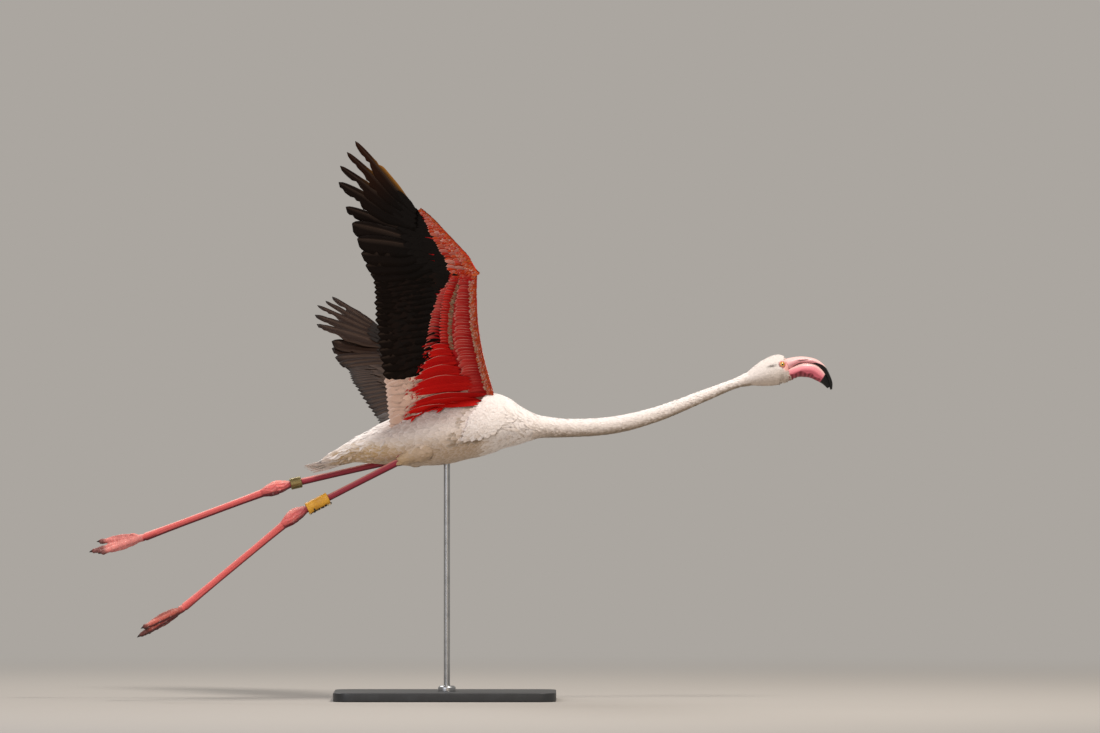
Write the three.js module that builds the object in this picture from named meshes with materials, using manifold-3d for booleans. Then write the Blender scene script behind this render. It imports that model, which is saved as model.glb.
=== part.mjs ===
// A greater flamingo in full flight, life size, as a still museum model on a plain display stand.
//
// Frame: millimetres, +X the way the bird flies, +Y its left side, +Z up.
// The origin is the middle of the underside of the stand's base.
// The bird is built round its shoulder centre, turned a little in heading, with trunk and wings banked.

import * as THREE from "three";
import { mergeVertices } from "three/addons/utils/BufferGeometryUtils.js";
import Module from "manifold-3d";

const wasm = await Module();
wasm.setup();

// ---------- driving dimensions ----------

const GAP = 0.3; // clearance between neighbouring pieces

const SHOULDER = new THREE.Vector3(79, 5, 621.5); // shoulder centre above the base
const HEADING = THREE.MathUtils.degToRad(4); // the bird flies a little to its left of +X
const BANK = THREE.MathUtils.degToRad(18); // right wing up

const BASE = { length: 500, width: 360, height: 20, corner: 40, bevel: 2.5 };
const ROD = { radius: 7, at: 4, collarRadius: 20, collarHeight: 12 };

// Stations along the spine from tail root to bill root, seen from the side:
// x and z of the middle, half depth, half width, and how much of the bank the section carries.
const SPINE = [
  { x: -331, z: -80, deep: 11, wide: 31, bank: 1 }, // tail root
  { x: -286, z: -62, deep: 23, wide: 39, bank: 1 }, // vent
  { x: -225, z: -48, deep: 43, wide: 50, bank: 1 }, // rump
  { x: -158, z: -34, deep: 61, wide: 65, bank: 1 }, // loins
  { x: -90, z: -19, deep: 73, wide: 75, bank: 1 }, // belly
  { x: -24, z: -3, deep: 74, wide: 74, bank: 1 }, // back
  { x: 38, z: 2, deep: 65, wide: 62, bank: 1 }, // breast
  { x: 84, z: -4, deep: 45, wide: 45, bank: 0.8 }, // crop
  { x: 135, z: -7, deep: 24.5, wide: 25, bank: 0.5 }, // neck root
  { x: 200, z: -9.5, deep: 20, wide: 20, bank: 0.3 },
  { x: 300, z: -3, deep: 19, wide: 18.5, bank: 0.2 },
  { x: 400, z: 22, deep: 16.3, wide: 16, bank: 0.1 },
  { x: 500, z: 62, deep: 14, wide: 14, bank: 0 },
  { x: 575, z: 93, deep: 13.2, wide: 13, bank: 0 },
  { x: 611, z: 106, deep: 20.5, wide: 17, bank: 0 }, // nape
];
const TRUNK_END = 8; // station where the trunk ends and the neck begins
const NECK_LENGTHS = 4;

const HEAD = [
  { x: 611, z: 106, deep: 20.5, wide: 17 }, // nape
  { x: 629, z: 112, deep: 28, wide: 21.5 }, // hind crown
  { x: 651, z: 118, deep: 33.5, wide: 24.5 }, // crown and cheek
  { x: 673, z: 121, deep: 33.5, wide: 23.5 }, // eye
  { x: 687, z: 121, deep: 29.5, wide: 20 }, // lores
  { x: 697, z: 122, deep: 26, wide: 17.5 }, // bill root
];
const EYE = { x: 679.5, z: 133.7, out: 15.2, radius: 8 };

// The bill in profile: middle of each half, half depth square to its line, half width.
const BILL_UPPER = [
  { x: 698, z: 136.1, deep: 11.9, wide: 15.5 },
  { x: 719, z: 143.1, deep: 7.8, wide: 13 },
  { x: 740, z: 143.1, deep: 6.6, wide: 12 },
  { x: 758, z: 139.1, deep: 5.6, wide: 11.5 },
  { x: 773, z: 128.2, deep: 5.2, wide: 10.5 },
  { x: 783.8, z: 110, deep: 5.1, wide: 8.5 },
  { x: 791, z: 92, deep: 4.4, wide: 6 },
  { x: 793, z: 77, deep: 1.8, wide: 2.5 },
];
const BILL_LOWER = [
  { x: 698, z: 111.3, deep: 13.8, wide: 15.5 },
  { x: 713, z: 117.3, deep: 13.3, wide: 16 },
  { x: 733, z: 121.1, deep: 16.3, wide: 15.5 },
  { x: 751.3, z: 118.3, deep: 16.3, wide: 14.5 },
  { x: 766.6, z: 108, deep: 13.6, wide: 12.5 },
  { x: 778.2, z: 96.4, deep: 9, wide: 9 },
  { x: 786, z: 82, deep: 3.2, wide: 3.8 },
];

const TAIL = { length: 66, drop: 20, thickRoot: 22, thickTip: 3, halfWidth: 34, feathers: 6, notch: 7 };

// Leg joints from the shoulder centre, and the half depth and half width of each length.
const LEG = {
  thigh: { deep: [27, 29, 20, 10.5], wide: [24, 25, 17, 10] },
  shin: { root: 8.5, middle: 7.8, end: 8.6 },
  ankle: { length: 62, deep: 16, wide: 12.5 },
  tarsus: { root: 9.6, middle: 8.5, end: 9.8, flat: 0.74 },
  toe: { root: 7.6, tip: 4.8, flat: 0.8, web: 2, arch: [7, 0, -6] }, // arch: rise of each toe's middle
};
const LEGS = {
  right: {
    hip: [-105, -44, -42],
    knee: [-190, -46, -87],
    ankle: [-419, -48, -204],
    foot: [-674, -66, -414],
    toes: { outer: [-760, -82, -455], middle: [-768, -70, -474], inner: [-750, -56, -467] },
    hind: [-698, -60, -404],
  },
  left: {
    hip: [-110, 44, -62],
    knee: [-196, 44, -84],
    ankle: [-455, 42, -143],
    foot: [-756, 108, -257],
    toes: { outer: [-851, 138, -266], middle: [-868, 128, -288], inner: [-848, 114, -291] },
    hind: [-784, 112, -248],
  },
};
const RINGS = {
  right: { name: "ring_tall_right", length: 54, inner: 9.2, outer: 13.6, from: 0.78, grooves: 6 },
  left: { name: "ring_metal_left", length: 26, inner: 9.2, outer: 12.8, from: 0.838, grooves: 0 },
};

// Wing landmarks from the shoulder centre in the banked frame: forward, outward, up.
const WING = {
  rootFront: [28, 62, 60],
  wristFront: [-24, 387, 234],
  hollow: 14, // how far the leading edge bows in between shoulder and wrist
  camber: 11,
  inside: -0.14, // where the wing root starts, inside the trunk
  elbow: 0.42, // share of the arm's span
  coverts: 0.42, // share of the chord that flesh and wing coverts fill
  thickShoulder: 26,
  thickWrist: 14,
  handEnd: 0.46, // share of the line from wrist to wing tip
  bulge: 10, // how far the hand's front edge stands out beyond that line
  featherThick: 1.3,
  innerPrimaries: 6,
  lean: 0.14, // rise of each outer primary's leading edge, as the slope of a slat
  fingerDrop: 4.2, // how far the first outer primary lies below the hand's middle surface
  fingerStep: 2.2,
  tipDrop: 10, // how far the outer primaries' tips lie below the sheet of the inner ones
  trailingVane: 0.66, // share of an outer primary's width that lies behind its shaft
  trailing: [
    [-207, 40, -26], // innermost tertial
    [-222, 130, 64], // last secondary
    [-243, 238, 166],
    [-253, 340, 227], // first secondary
    [-276, 388, 257], // first primary
    [-296, 431, 310],
    [-324, 458, 378], // sixth primary
  ],
  fingers: [
    { number: 7, tip: [-327, 484, 410], width: 46, neck: 0.6 },
    { number: 8, tip: [-324, 509, 433], width: 40, neck: 0.5 },
    { number: 9, tip: [-313, 543, 456], width: 37, neck: 0.5 },
    { number: 10, tip: [-310, 577, 477], width: 30, neck: 0.6 },
  ],
};
// How each wing is held; tips: forward and upward shift of each outer primary's tip, seventh first.
const WINGS = {
  right: { side: -1, sweep: 0, setBack: 0, lift: 0, tips: [[-8, 3], [-9, 8], [-6, 6], [8, 0]] },
  left: { side: 1, sweep: 0.13, setBack: 20, lift: 24, tips: [[-15, -12], [-13, 0], [-6, -2], [6, 0]] },
};

// ---------- materials ----------

const plain = (color, roughness, metalness = 0) =>
  new THREE.MeshStandardMaterial({ color, roughness, metalness });
const FINISH = {
  plumage: plain(0xf1e6df, 0.85),
  crimson: plain(0xb3161a, 0.8),
  black: plain(0x15110f, 0.6),
  tertial: plain(0xe6b9a8, 0.85),
  leg: plain(0xdf6f6c, 0.55),
  billPink: plain(0xe79aa2, 0.4),
  billRose: plain(0xd96f7f, 0.4),
  iris: plain(0xf2c14e, 0.15),
  ringYellow: plain(0xdfae3f, 0.45),
  ringMetal: plain(0x8f7a4a, 0.35, 0.9),
  stand: plain(0x2b2c2e, 0.5),
  steel: plain(0x9b9da0, 0.3, 1),
};

// ---------- solid makers ----------

const vector = (values) => new THREE.Vector3(...values);
const mix = THREE.MathUtils.lerp;

/** A closed tube along stations; each section is an ellipse square to the line of its middles. */
function loft(stations, { sides, steps, from = 0, to = 1, grow = 0 }) {
  const middles = new THREE.CatmullRomCurve3(stations.map((s) => new THREE.Vector3(s.x, s.y ?? 0, s.z)));
  const sizes = new THREE.CatmullRomCurve3(
    stations.map((s) => new THREE.Vector3(s.deep, s.wide, s.bank ?? 0)),
  );
  const geometry = new THREE.CylinderGeometry(1, 1, 1, sides, steps);
  const place = geometry.getAttribute("position");
  const upright = new THREE.Vector3(0, 0, 1);
  for (let i = 0; i < place.count; i++) {
    const t = mix(from, to, place.getY(i) + 0.5);
    const middle = middles.getPoint(t);
    const size = sizes.getPoint(t);
    const ahead = middles.getTangent(t);
    const side = new THREE.Vector3().crossVectors(upright, ahead).normalize();
    const up = new THREE.Vector3().crossVectors(ahead, side);
    side.applyAxisAngle(ahead, -size.z * BANK);
    up.applyAxisAngle(ahead, -size.z * BANK);
    middle.addScaledVector(up, place.getX(i) * (size.x + grow));
    middle.addScaledVector(side, place.getZ(i) * (size.y + grow));
    place.setXYZ(i, middle.x, middle.y, middle.z);
  }
  return bare(geometry);
}

/** A thin curved slab: surface(span, chord) is its middle, thick(span, chord) its thickness. */
function panel({ surface, thick, spanSteps, chordSteps, grow = 0 }) {
  const geometry = new THREE.BoxGeometry(1, 1, 1, chordSteps, 1, spanSteps);
  const place = geometry.getAttribute("position");
  const step = 0.01;
  for (let i = 0; i < place.count; i++) {
    const chord = place.getX(i) + 0.5;
    const span = place.getZ(i) + 0.5;
    const here = surface(span, chord);
    const back = span > 0.5 ? -step : step;
    const alongSpan = surface(span + back, chord).sub(here).multiplyScalar(Math.sign(back));
    const shift = chord > 0.5 ? -step : step;
    const alongChord = surface(span, chord + shift).sub(here).multiplyScalar(Math.sign(shift));
    const normal = alongSpan.cross(alongChord).normalize();
    here.addScaledVector(normal, place.getY(i) * (thick(span, chord) + 2 * grow));
    place.setXYZ(i, here.x, here.y, here.z);
  }
  return bare(geometry);
}

/** The geometry with its corners merged, so that only a closed surface is left. */
function bare(geometry) {
  const merged = geometry.clone();
  merged.deleteAttribute("normal");
  merged.deleteAttribute("uv");
  const closed = mergeVertices(merged, 1e-4);
  closed.computeVertexNormals();
  return closed;
}

/** A solid of the boolean library from a geometry, seen through a matrix. */
function solidOf(geometry, matrix = new THREE.Matrix4()) {
  const world = bare(geometry).applyMatrix4(matrix);
  const triVerts = new Uint32Array(world.index.array);
  if (matrix.determinant() < 0) triVerts.reverse();
  const vertProperties = new Float32Array(world.getAttribute("position").array);
  return new wasm.Manifold(new wasm.Mesh({ numProp: 3, vertProperties, triVerts }));
}

/** The geometry of a boolean library solid, carried back through a matrix. */
function geometryOf(solid, matrix = new THREE.Matrix4()) {
  const mesh = solid.getMesh();
  const geometry = new THREE.BufferGeometry();
  geometry.setAttribute("position", new THREE.BufferAttribute(new Float32Array(mesh.vertProperties), 3));
  const faces = new Uint32Array(mesh.triVerts);
  if (matrix.determinant() < 0) faces.reverse();
  geometry.setIndex(new THREE.BufferAttribute(faces, 1));
  geometry.applyMatrix4(matrix);
  geometry.computeVertexNormals();
  return geometry;
}

/** Cuts a placed mesh by solids given in the part's own frame and keeps its largest body. */
function cut(mesh, ...cutters) {
  mesh.updateWorldMatrix(true, false);
  let solid = solidOf(mesh.geometry, mesh.matrixWorld);
  for (const cutter of cutters) solid = solid.subtract(cutter);
  const bodies = solid.decompose().sort((a, b) => b.volume() - a.volume());
  mesh.geometry = geometryOf(bodies[0], mesh.matrixWorld.clone().invert());
}

/** Several closed geometries joined into one. */
function join(...geometries) {
  return geometryOf(geometries.map((g) => solidOf(g)).reduce((whole, next) => whole.add(next)));
}

function add(group, name, geometry, material) {
  const mesh = new THREE.Mesh(geometry, material.clone());
  mesh.name = name;
  group.add(mesh);
  return mesh;
}

/** Stations of a limb through given points, with half depths and widths spaced evenly along it. */
function limb(points, deep, wide) {
  const line = new THREE.CatmullRomCurve3(points.map(vector));
  return deep.map((value, i) => {
    const at = line.getPointAt(i / (deep.length - 1));
    return { x: at.x, y: at.y, z: at.z, deep: value, wide: wide[i] };
  });
}

/** Stations of a straight length between two points, kept clear of both ends. */
function length(from, to, deep, wide, startGap = GAP, endGap = GAP) {
  const a = vector(from);
  const b = vector(to);
  const along = b.clone().sub(a).normalize();
  a.addScaledVector(along, startGap);
  b.addScaledVector(along, -endGap);
  return limb([a.toArray(), b.toArray()], deep, wide);
}

// ---------- the groups ----------

const flamingo = new THREE.Group();
const bird = new THREE.Group();
bird.position.copy(SHOULDER);
bird.rotation.z = HEADING;
flamingo.add(bird);
const banked = new THREE.Group();
banked.rotation.x = -BANK;
bird.add(banked);
bird.updateWorldMatrix(true, true);

/** A geometry of the bird's group as a solid in the part's own frame. */
const inPartFrame = (geometry) => solidOf(geometry, bird.matrixWorld);

// ---------- trunk, neck, head ----------

function buildTrunk() {
  const options = { sides: 18, steps: 18, from: 0, to: TRUNK_END / (SPINE.length - 1) };
  add(bird, "trunk", loft(SPINE, options), FINISH.plumage);
  return inPartFrame(loft(SPINE, { ...options, grow: GAP }));
}

function buildNeck(headCutter) {
  const start = TRUNK_END / (SPINE.length - 1);
  const share = (1 - start) / NECK_LENGTHS;
  const clear = 0.0006; // of the spine's parameter, which leaves about the usual gap
  for (let i = 0; i < NECK_LENGTHS; i++) {
    const from = start + i * share + clear;
    const to = start + (i + 1) * share - clear;
    const neck = loft(SPINE, { sides: 12, steps: 6, from, to });
    cut(add(bird, `neck_${i + 1}`, neck, FINISH.plumage), headCutter);
  }
}

function buildHead() {
  const shape = { sides: 16, steps: 10 };
  const head = add(bird, "head", loft(HEAD, shape), FINISH.plumage);
  const longer = HEAD.map((s, i) => ({ ...s, x: s.x + GAP * (i === 0 ? -2 : Number(i === HEAD.length - 1)) }));
  const cutter = inPartFrame(loft(longer, { ...shape, grow: GAP }));
  const sockets = [1, -1].map((side) => {
    const at = new THREE.Vector3(EYE.x, side * EYE.out, EYE.z);
    const name = side > 0 ? "eye_left" : "eye_right";
    const eye = add(bird, name, bare(new THREE.SphereGeometry(EYE.radius, 12, 8)), FINISH.iris);
    eye.position.copy(at);
    const socket = new THREE.SphereGeometry(EYE.radius + GAP, 12, 8);
    return inPartFrame(socket.translate(at.x, at.y, at.z));
  });
  cut(head, ...sockets);
  const half = { sides: 10, steps: 12 };
  cut(add(bird, "bill_upper", loft(BILL_UPPER, half), FINISH.billPink), cutter);
  const upperCutter = inPartFrame(loft(BILL_UPPER, { ...half, grow: GAP }));
  cut(add(bird, "bill_lower", loft(BILL_LOWER, half), FINISH.billRose), cutter, upperCutter);
  return cutter;
}

/** The short fan of the tail, ending in one point for each pair of feathers. */
function buildTail(trunk) {
  const root = SPINE[0];
  const half = TAIL.halfWidth;
  const surface = (span, chord) => {
    const tooth = Math.abs(((span * TAIL.feathers) % 1) - 0.5) * 2;
    const reach = TAIL.length - TAIL.notch * tooth - 18 * (2 * span - 1) ** 2;
    const x = root.x + 8 - chord * (reach + 8);
    const across = (span - 0.5) * 2 * half * (1 + 0.12 * chord);
    const arch = 9 * (1 - (2 * span - 1) ** 2) * (1 - 0.4 * chord);
    const y = across * Math.cos(BANK);
    return new THREE.Vector3(x, y, root.z - chord * TAIL.drop + arch - 4 - across * Math.sin(BANK));
  };
  const thick = (span, chord) => mix(TAIL.thickRoot, TAIL.thickTip, chord) * (1 - 0.75 * (2 * span - 1) ** 2);
  const tail = add(
    bird,
    "tail",
    panel({ surface, thick, spanSteps: TAIL.feathers * 2, chordSteps: 3 }),
    FINISH.plumage,
  );
  cut(tail, trunk);
}

// ---------- legs ----------

function buildFoot(name, leg) {
  const { toe } = LEG;
  const root = vector(leg.foot);
  const parts = [];
  const toes = Object.values(leg.toes).map((tip, i) => {
    const end = vector(tip);
    const middle = root.clone().lerp(end, 0.5);
    middle.z += toe.arch[i];
    return new THREE.CatmullRomCurve3([root, middle, end]);
  });
  for (const line of toes) {
    const deep = [toe.root, toe.root * 0.94, mix(toe.root, toe.tip, 0.5), toe.tip, 1.2];
    const points = [0, 0.25, 0.5, 0.75, 1].map((t) => line.getPoint(t).toArray());
    parts.push(loft(limb(points, deep, deep.map((d) => d * toe.flat)), { sides: 6, steps: 5 }));
  }
  for (const [a, b] of [[toes[0], toes[1]], [toes[1], toes[2]]]) {
    const surface = (span, chord) => {
      const t = 0.06 + 0.7 * span;
      return a.getPoint(t).lerp(b.getPoint(t), chord);
    };
    parts.push(panel({ surface, thick: () => toe.web, spanSteps: 4, chordSteps: 1 }));
  }
  const hind = [root.clone().lerp(vector(leg.hind), 0.3).toArray(), leg.hind];
  parts.push(loft(limb(hind, [5, 4.4, 1.5], [4, 3.6, 1.2]), { sides: 6, steps: 2 }));
  return add(bird, name, join(...parts), FINISH.leg);
}

function buildRing(leg, ring) {
  const a = vector(leg.knee);
  const b = vector(leg.ankle);
  const middle = a.clone().lerp(b, ring.from);
  const half = ring.length / 2;
  const profile = [new THREE.Vector2(ring.inner, -half), new THREE.Vector2(ring.outer, -half)];
  for (let i = 1; i < ring.grooves; i++) {
    const z = mix(-half, half, i / ring.grooves);
    profile.push(new THREE.Vector2(ring.outer - (i % 2 ? 0.9 : 0), z));
  }
  profile.push(new THREE.Vector2(ring.outer, half));
  profile.push(new THREE.Vector2(ring.inner, half));
  profile.push(profile[0].clone());
  const mesh = add(bird, ring.name, bare(new THREE.LatheGeometry(profile, 14)), FINISH.ringYellow);
  mesh.position.copy(middle);
  mesh.quaternion.setFromUnitVectors(new THREE.Vector3(0, 1, 0), b.sub(a).normalize());
  return mesh;
}

function buildLeg(side, trunk) {
  const leg = LEGS[side];
  const { thigh, shin, ankle, tarsus } = LEG;
  const knee = vector(leg.knee);
  const heel = vector(leg.ankle);
  const foot = vector(leg.foot);
  const down = foot.clone().sub(heel).normalize();
  const back = heel.clone().sub(knee).normalize();
  const ankleTop = heel.clone().addScaledVector(back, -ankle.length * 0.42);
  const ankleEnd = heel.clone().addScaledVector(down, ankle.length * 0.58);
  const footTop = foot.clone().addScaledVector(down, -6);

  const upper = loft(limb([leg.hip, leg.knee], thigh.deep, thigh.wide), { sides: 12, steps: 5 });
  cut(add(bird, `thigh_${side}`, upper, FINISH.plumage), trunk);

  const shinSizes = [shin.root, shin.middle, shin.middle, shin.end];
  const shinWide = shinSizes.map((s) => s * 0.92);
  const shinLine = length(leg.knee, ankleTop.toArray(), shinSizes, shinWide, GAP, 3 * GAP);
  cut(add(bird, `shin_${side}`, loft(shinLine, { sides: 10, steps: 4 }), FINISH.leg), trunk);

  const knob = [shin.end + 0.4, ankle.deep * 0.86, ankle.deep, ankle.deep * 0.88, tarsus.root];
  const knobWide = [shin.end * 0.92, ankle.wide, ankle.wide * 1.04, ankle.wide, tarsus.root * 0.9];
  const knobLine = limb([ankleTop.toArray(), leg.ankle, ankleEnd.toArray()], knob, knobWide);
  add(bird, `ankle_${side}`, loft(knobLine, { sides: 12, steps: 8 }), FINISH.leg);

  const depth = [tarsus.root, tarsus.middle, tarsus.middle, tarsus.middle, tarsus.end];
  const tarsusLine = length(ankleEnd.toArray(), footTop.toArray(), depth, depth.map((d) => d * tarsus.flat));
  const shank = loft(tarsusLine, { sides: 10, steps: 6 });
  add(bird, `tarsus_${side}`, shank, FINISH.leg);
  const shankSolid = inPartFrame(loft(tarsusLine, { sides: 10, steps: 6, grow: GAP }));
  cut(buildFoot(`foot_${side}`, leg), shankSolid);
  const ring = buildRing(leg, RINGS[side]);
  if (side === "left") ring.material = FINISH.ringMetal.clone();
}

// ---------- wings ----------

/** The two wings share one shape; the left one is mirrored and swept a little differently. */
class Wing {
  constructor(side) {
    const { sweep, setBack, lift } = WINGS[side];
    this.side = side;
    this.group = new THREE.Group();
    this.group.scale.y = WINGS[side].side;
    banked.add(this.group);
    this.group.updateWorldMatrix(true, false);
    this.adjust = (values) => {
      const point = vector(values);
      const share = THREE.MathUtils.smoothstep(point.y, 60, 300);
      point.x += share * (sweep * (point.z - 250) - setBack);
      point.z += lift * THREE.MathUtils.smoothstep(point.y, 60, 560);
      return point;
    };
    this.rootFront = this.adjust(WING.rootFront);
    this.wrist = this.adjust(WING.wristFront);
    this.tip = this.adjust(WING.fingers.at(-1).tip);
    this.trailing = new THREE.CatmullRomCurve3(WING.trailing.map(this.adjust));
    this.handRoot = this.armSurface(1, WING.coverts);
    const line = this.tip.clone().sub(this.wrist).normalize();
    const back = this.handRoot.clone().sub(this.wrist);
    this.forward = line.multiplyScalar(back.dot(line)).sub(back).normalize();
  }

  /** Front edge of the arm wing; span runs 0 at the shoulder to 1 at the wrist. */
  armFront(span) {
    const point = this.rootFront.clone().lerp(this.wrist, span);
    point.x -= WING.hollow * Math.sin(Math.PI * THREE.MathUtils.clamp(span, 0, 1));
    return point;
  }

  /** Tips of the arm's flight feathers over the same span. */
  armRear(span) {
    const share = (span - WING.inside) / (1 - WING.inside);
    return this.trailing.getPoint(share * 0.5);
  }

  /** Middle surface of the arm wing from leading edge to feather tips. */
  armSurface(span, chord) {
    const point = this.armFront(span).lerp(this.armRear(span), chord);
    point.z += WING.camber * Math.sin(Math.PI * Math.min(chord, 1));
    return point;
  }

  /** Straight line of the hand; reach runs 0 at the wrist to 1 at the wing tip. */
  handLine(reach) {
    return this.wrist.clone().lerp(this.tip, reach);
  }

  /** Front edge of the hand, which bows out a little beyond that line. */
  handFront(reach) {
    const { smoothstep } = THREE.MathUtils;
    const share = smoothstep(reach, 0, 0.11) * (1 - smoothstep(reach, 0.36, 0.56));
    return this.handLine(reach).addScaledVector(this.forward, WING.bulge * share);
  }

  /** Rear edge of the hand's flesh and coverts, where the primaries leave it. */
  handRear(reach) {
    const share = reach / WING.handEnd;
    const end = this.handLine(WING.handEnd).add(new THREE.Vector3(-6, -9, 2));
    const point = this.handRoot.clone().lerp(end, share);
    point.x -= 12 * Math.sin(Math.PI * share);
    return point;
  }

  add(name, geometry, material) {
    return add(this.group, `${name}_${this.side}`, geometry, material);
  }

  /** Flesh and coverts of the arm, in two lengths that meet at the elbow; returns a cutter of the second. */
  buildArm(trunk) {
    const lengths = [
      { name: "upper_arm", from: WING.inside, to: WING.elbow - 0.0006 },
      { name: "forearm", from: WING.elbow + 0.0006, to: 1 - 0.001 },
    ];
    for (const { name, from, to } of lengths) {
      const surface = (span, chord) => this.armSurface(mix(from, to, span), chord * WING.coverts);
      const thick = (span, chord) => {
        const most = mix(WING.thickShoulder, WING.thickWrist, mix(from, to, span));
        return most * (0.3 + 0.7 * Math.sin(Math.PI * Math.min(1, 0.12 + 0.8 * chord)));
      };
      const shape = { surface, thick, spanSteps: 6, chordSteps: 5 };
      const mesh = this.add(name, panel(shape), FINISH.crimson);
      if (name === "upper_arm") {
        cut(mesh, trunk);
        continue;
      }
      const longer = (span, chord) => this.armSurface(mix(from, 1, span), chord * WING.coverts);
      this.forearm = solidOf(panel({ ...shape, surface: longer, grow: GAP }), this.group.matrixWorld);
    }
  }

  /** Flesh and coverts of the hand. */
  buildHand() {
    const surface = (span, chord) => {
      const reach = mix(0.002, WING.handEnd, span);
      return this.handFront(reach).lerp(this.handRear(reach), chord);
    };
    const thick = (span, chord) => {
      const most = mix(WING.thickWrist, 6, span);
      return most * (0.3 + 0.7 * Math.sin(Math.PI * Math.min(1, 0.12 + 0.8 * chord)));
    };
    const shape = { surface, thick, spanSteps: 5, chordSteps: 4 };
    cut(this.add("hand", panel(shape), FINISH.crimson), this.forearm);
    this.hand = solidOf(panel({ ...shape, grow: GAP }), this.group.matrixWorld);
  }

  /** A sheet of overlapping flight feathers with one pointed tip for each. */
  sheet(name, { front, rear, feathers, notch, material, root = 5 }) {
    const surface = (span, chord) => {
      const tooth = Math.abs(((span * feathers) % 1) - 0.5) * 2;
      const start = front(span);
      const end = rear(span);
      const reach = 1 - (notch * tooth) / start.distanceTo(end);
      const point = start.lerp(end, mix(0.009, reach, chord));
      point.z += 4 * Math.sin(Math.PI * chord);
      return point;
    };
    const thick = (span, chord) => mix(root, WING.featherThick, Math.min(1, chord * 2));
    return this.add(name, panel({ surface, thick, spanSteps: feathers * 2, chordSteps: 2 }), material);
  }

  buildFeatherSheets(trunk) {
    const blocks = [
      { name: "tertials", from: WING.inside, to: 0.195, feathers: 5, material: FINISH.tertial },
      { name: "secondaries_inner", from: 0.2, to: 0.598, feathers: 8, material: FINISH.black },
      { name: "secondaries_outer", from: 0.602, to: 0.998, feathers: 8, material: FINISH.black },
    ];
    for (const { name, from, to, feathers, material } of blocks) {
      const front = (span) => this.armSurface(mix(from, to, span), WING.coverts);
      const rear = (span) => this.armRear(mix(from, to, span));
      const mesh = this.sheet(name, { front, rear, feathers, notch: 9, material });
      if (name === "tertials") cut(mesh, trunk);
    }
    this.sheet("primaries_inner", {
      front: (span) => this.handRear(mix(0.02, 0.62, span) * WING.handEnd),
      rear: (span) => this.trailing.getPoint(mix(0.508, 1, span)),
      feathers: WING.innerPrimaries,
      notch: 12,
      material: FINISH.black,
    });
  }

  /** The four outer primaries, each a blade of its own, overlapping like slats. */
  buildFingers() {
    const dorsal = this.handLine(0.5).sub(this.wrist).cross(this.handRoot.clone().sub(this.wrist)).normalize();
    WING.fingers.forEach(({ number, tip, width, neck }, i) => {
      const root = this.handRear(WING.handEnd * mix(0.74, 1, i / 3));
      const [forward, upward] = WINGS[this.side].tips[i];
      const end = this.adjust(tip).addScaledVector(dorsal, -WING.tipDrop);
      const outward = -(dorsal.x * forward + dorsal.z * upward) / dorsal.y;
      end.add(new THREE.Vector3(forward, outward, upward));
      const along = end.clone().sub(root).normalize();
      root.addScaledVector(along, 4).addScaledVector(dorsal, -(WING.fingerDrop + WING.fingerStep * i));
      const across = new THREE.Vector3().crossVectors(along, dorsal).normalize();
      across.addScaledVector(dorsal, WING.lean).normalize();
      const halfWidth = (t) => {
        const narrow = mix(1, neck, THREE.MathUtils.smoothstep(t, 0.55, 0.72));
        const opening = mix(0.42, 1, THREE.MathUtils.smoothstep(t, 0, 0.35));
        return (width / 2) * opening * narrow * Math.sqrt(Math.max(0.03, 1 - t ** 9));
      };
      const surface = (span, chord) => {
        const point = root.clone().lerp(end, span);
        return point.addScaledVector(across, (chord - WING.trailingVane) * 2 * halfWidth(span));
      };
      const thick = (span) => mix(2, WING.featherThick, Math.min(1, 2 * span));
      const blade = panel({ surface, thick, spanSteps: 8, chordSteps: 1 });
      cut(this.add(`primary_${number}`, blade, FINISH.black), this.hand);
    });
  }
}

// ---------- stand ----------

function buildStand(trunk) {
  const { length: long, width, height, corner, bevel } = BASE;
  const outline = new THREE.Shape();
  const x = long / 2 - bevel;
  const y = width / 2 - bevel;
  outline.moveTo(-x + corner, -y);
  outline.lineTo(x - corner, -y);
  outline.absarc(x - corner, -y + corner, corner, -Math.PI / 2, 0);
  outline.absarc(x - corner, y - corner, corner, 0, Math.PI / 2);
  outline.absarc(-x + corner, y - corner, corner, Math.PI / 2, Math.PI);
  outline.absarc(-x + corner, -y + corner, corner, Math.PI, 1.5 * Math.PI);
  const plate = new THREE.ExtrudeGeometry(outline, {
    depth: height - 2 * bevel,
    bevelThickness: bevel,
    bevelSize: bevel,
    bevelSegments: 1,
    curveSegments: 4,
  });
  plate.translate(0, 0, bevel);
  add(flamingo, "stand_base", bare(plate), FINISH.stand);

  const foot = height + GAP;
  const collarProfile = [
    [ROD.radius + GAP, 0],
    [ROD.collarRadius, 0],
    [ROD.collarRadius, ROD.collarHeight * 0.6],
    [ROD.collarRadius * 0.8, ROD.collarHeight],
    [ROD.radius + GAP, ROD.collarHeight],
    [ROD.radius + GAP, 0],
  ].map(([radius, z]) => new THREE.Vector2(radius, z));
  const collar = new THREE.LatheGeometry(collarProfile, 16).rotateX(Math.PI / 2);
  const collarMesh = add(flamingo, "stand_collar", bare(collar), FINISH.steel);
  collarMesh.position.set(ROD.at, 0, foot);

  const top = SHOULDER.z;
  const rod = new THREE.CylinderGeometry(ROD.radius, ROD.radius, top - foot, 16).rotateX(Math.PI / 2);
  const rodMesh = add(flamingo, "stand_rod", bare(rod), FINISH.steel);
  rodMesh.position.set(ROD.at, 0, (top + foot) / 2);
  cut(rodMesh, trunk);
}

// ---------- assembly ----------

const trunkSolid = buildTrunk();
buildNeck(buildHead());
buildTail(trunkSolid);
for (const side of Object.keys(LEGS)) buildLeg(side, trunkSolid);
for (const side of Object.keys(WINGS)) {
  const wing = new Wing(side);
  wing.buildArm(trunkSolid);
  wing.buildHand();
  wing.buildFeatherSheets(trunkSolid);
  wing.buildFingers();
}
buildStand(trunkSolid);

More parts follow.
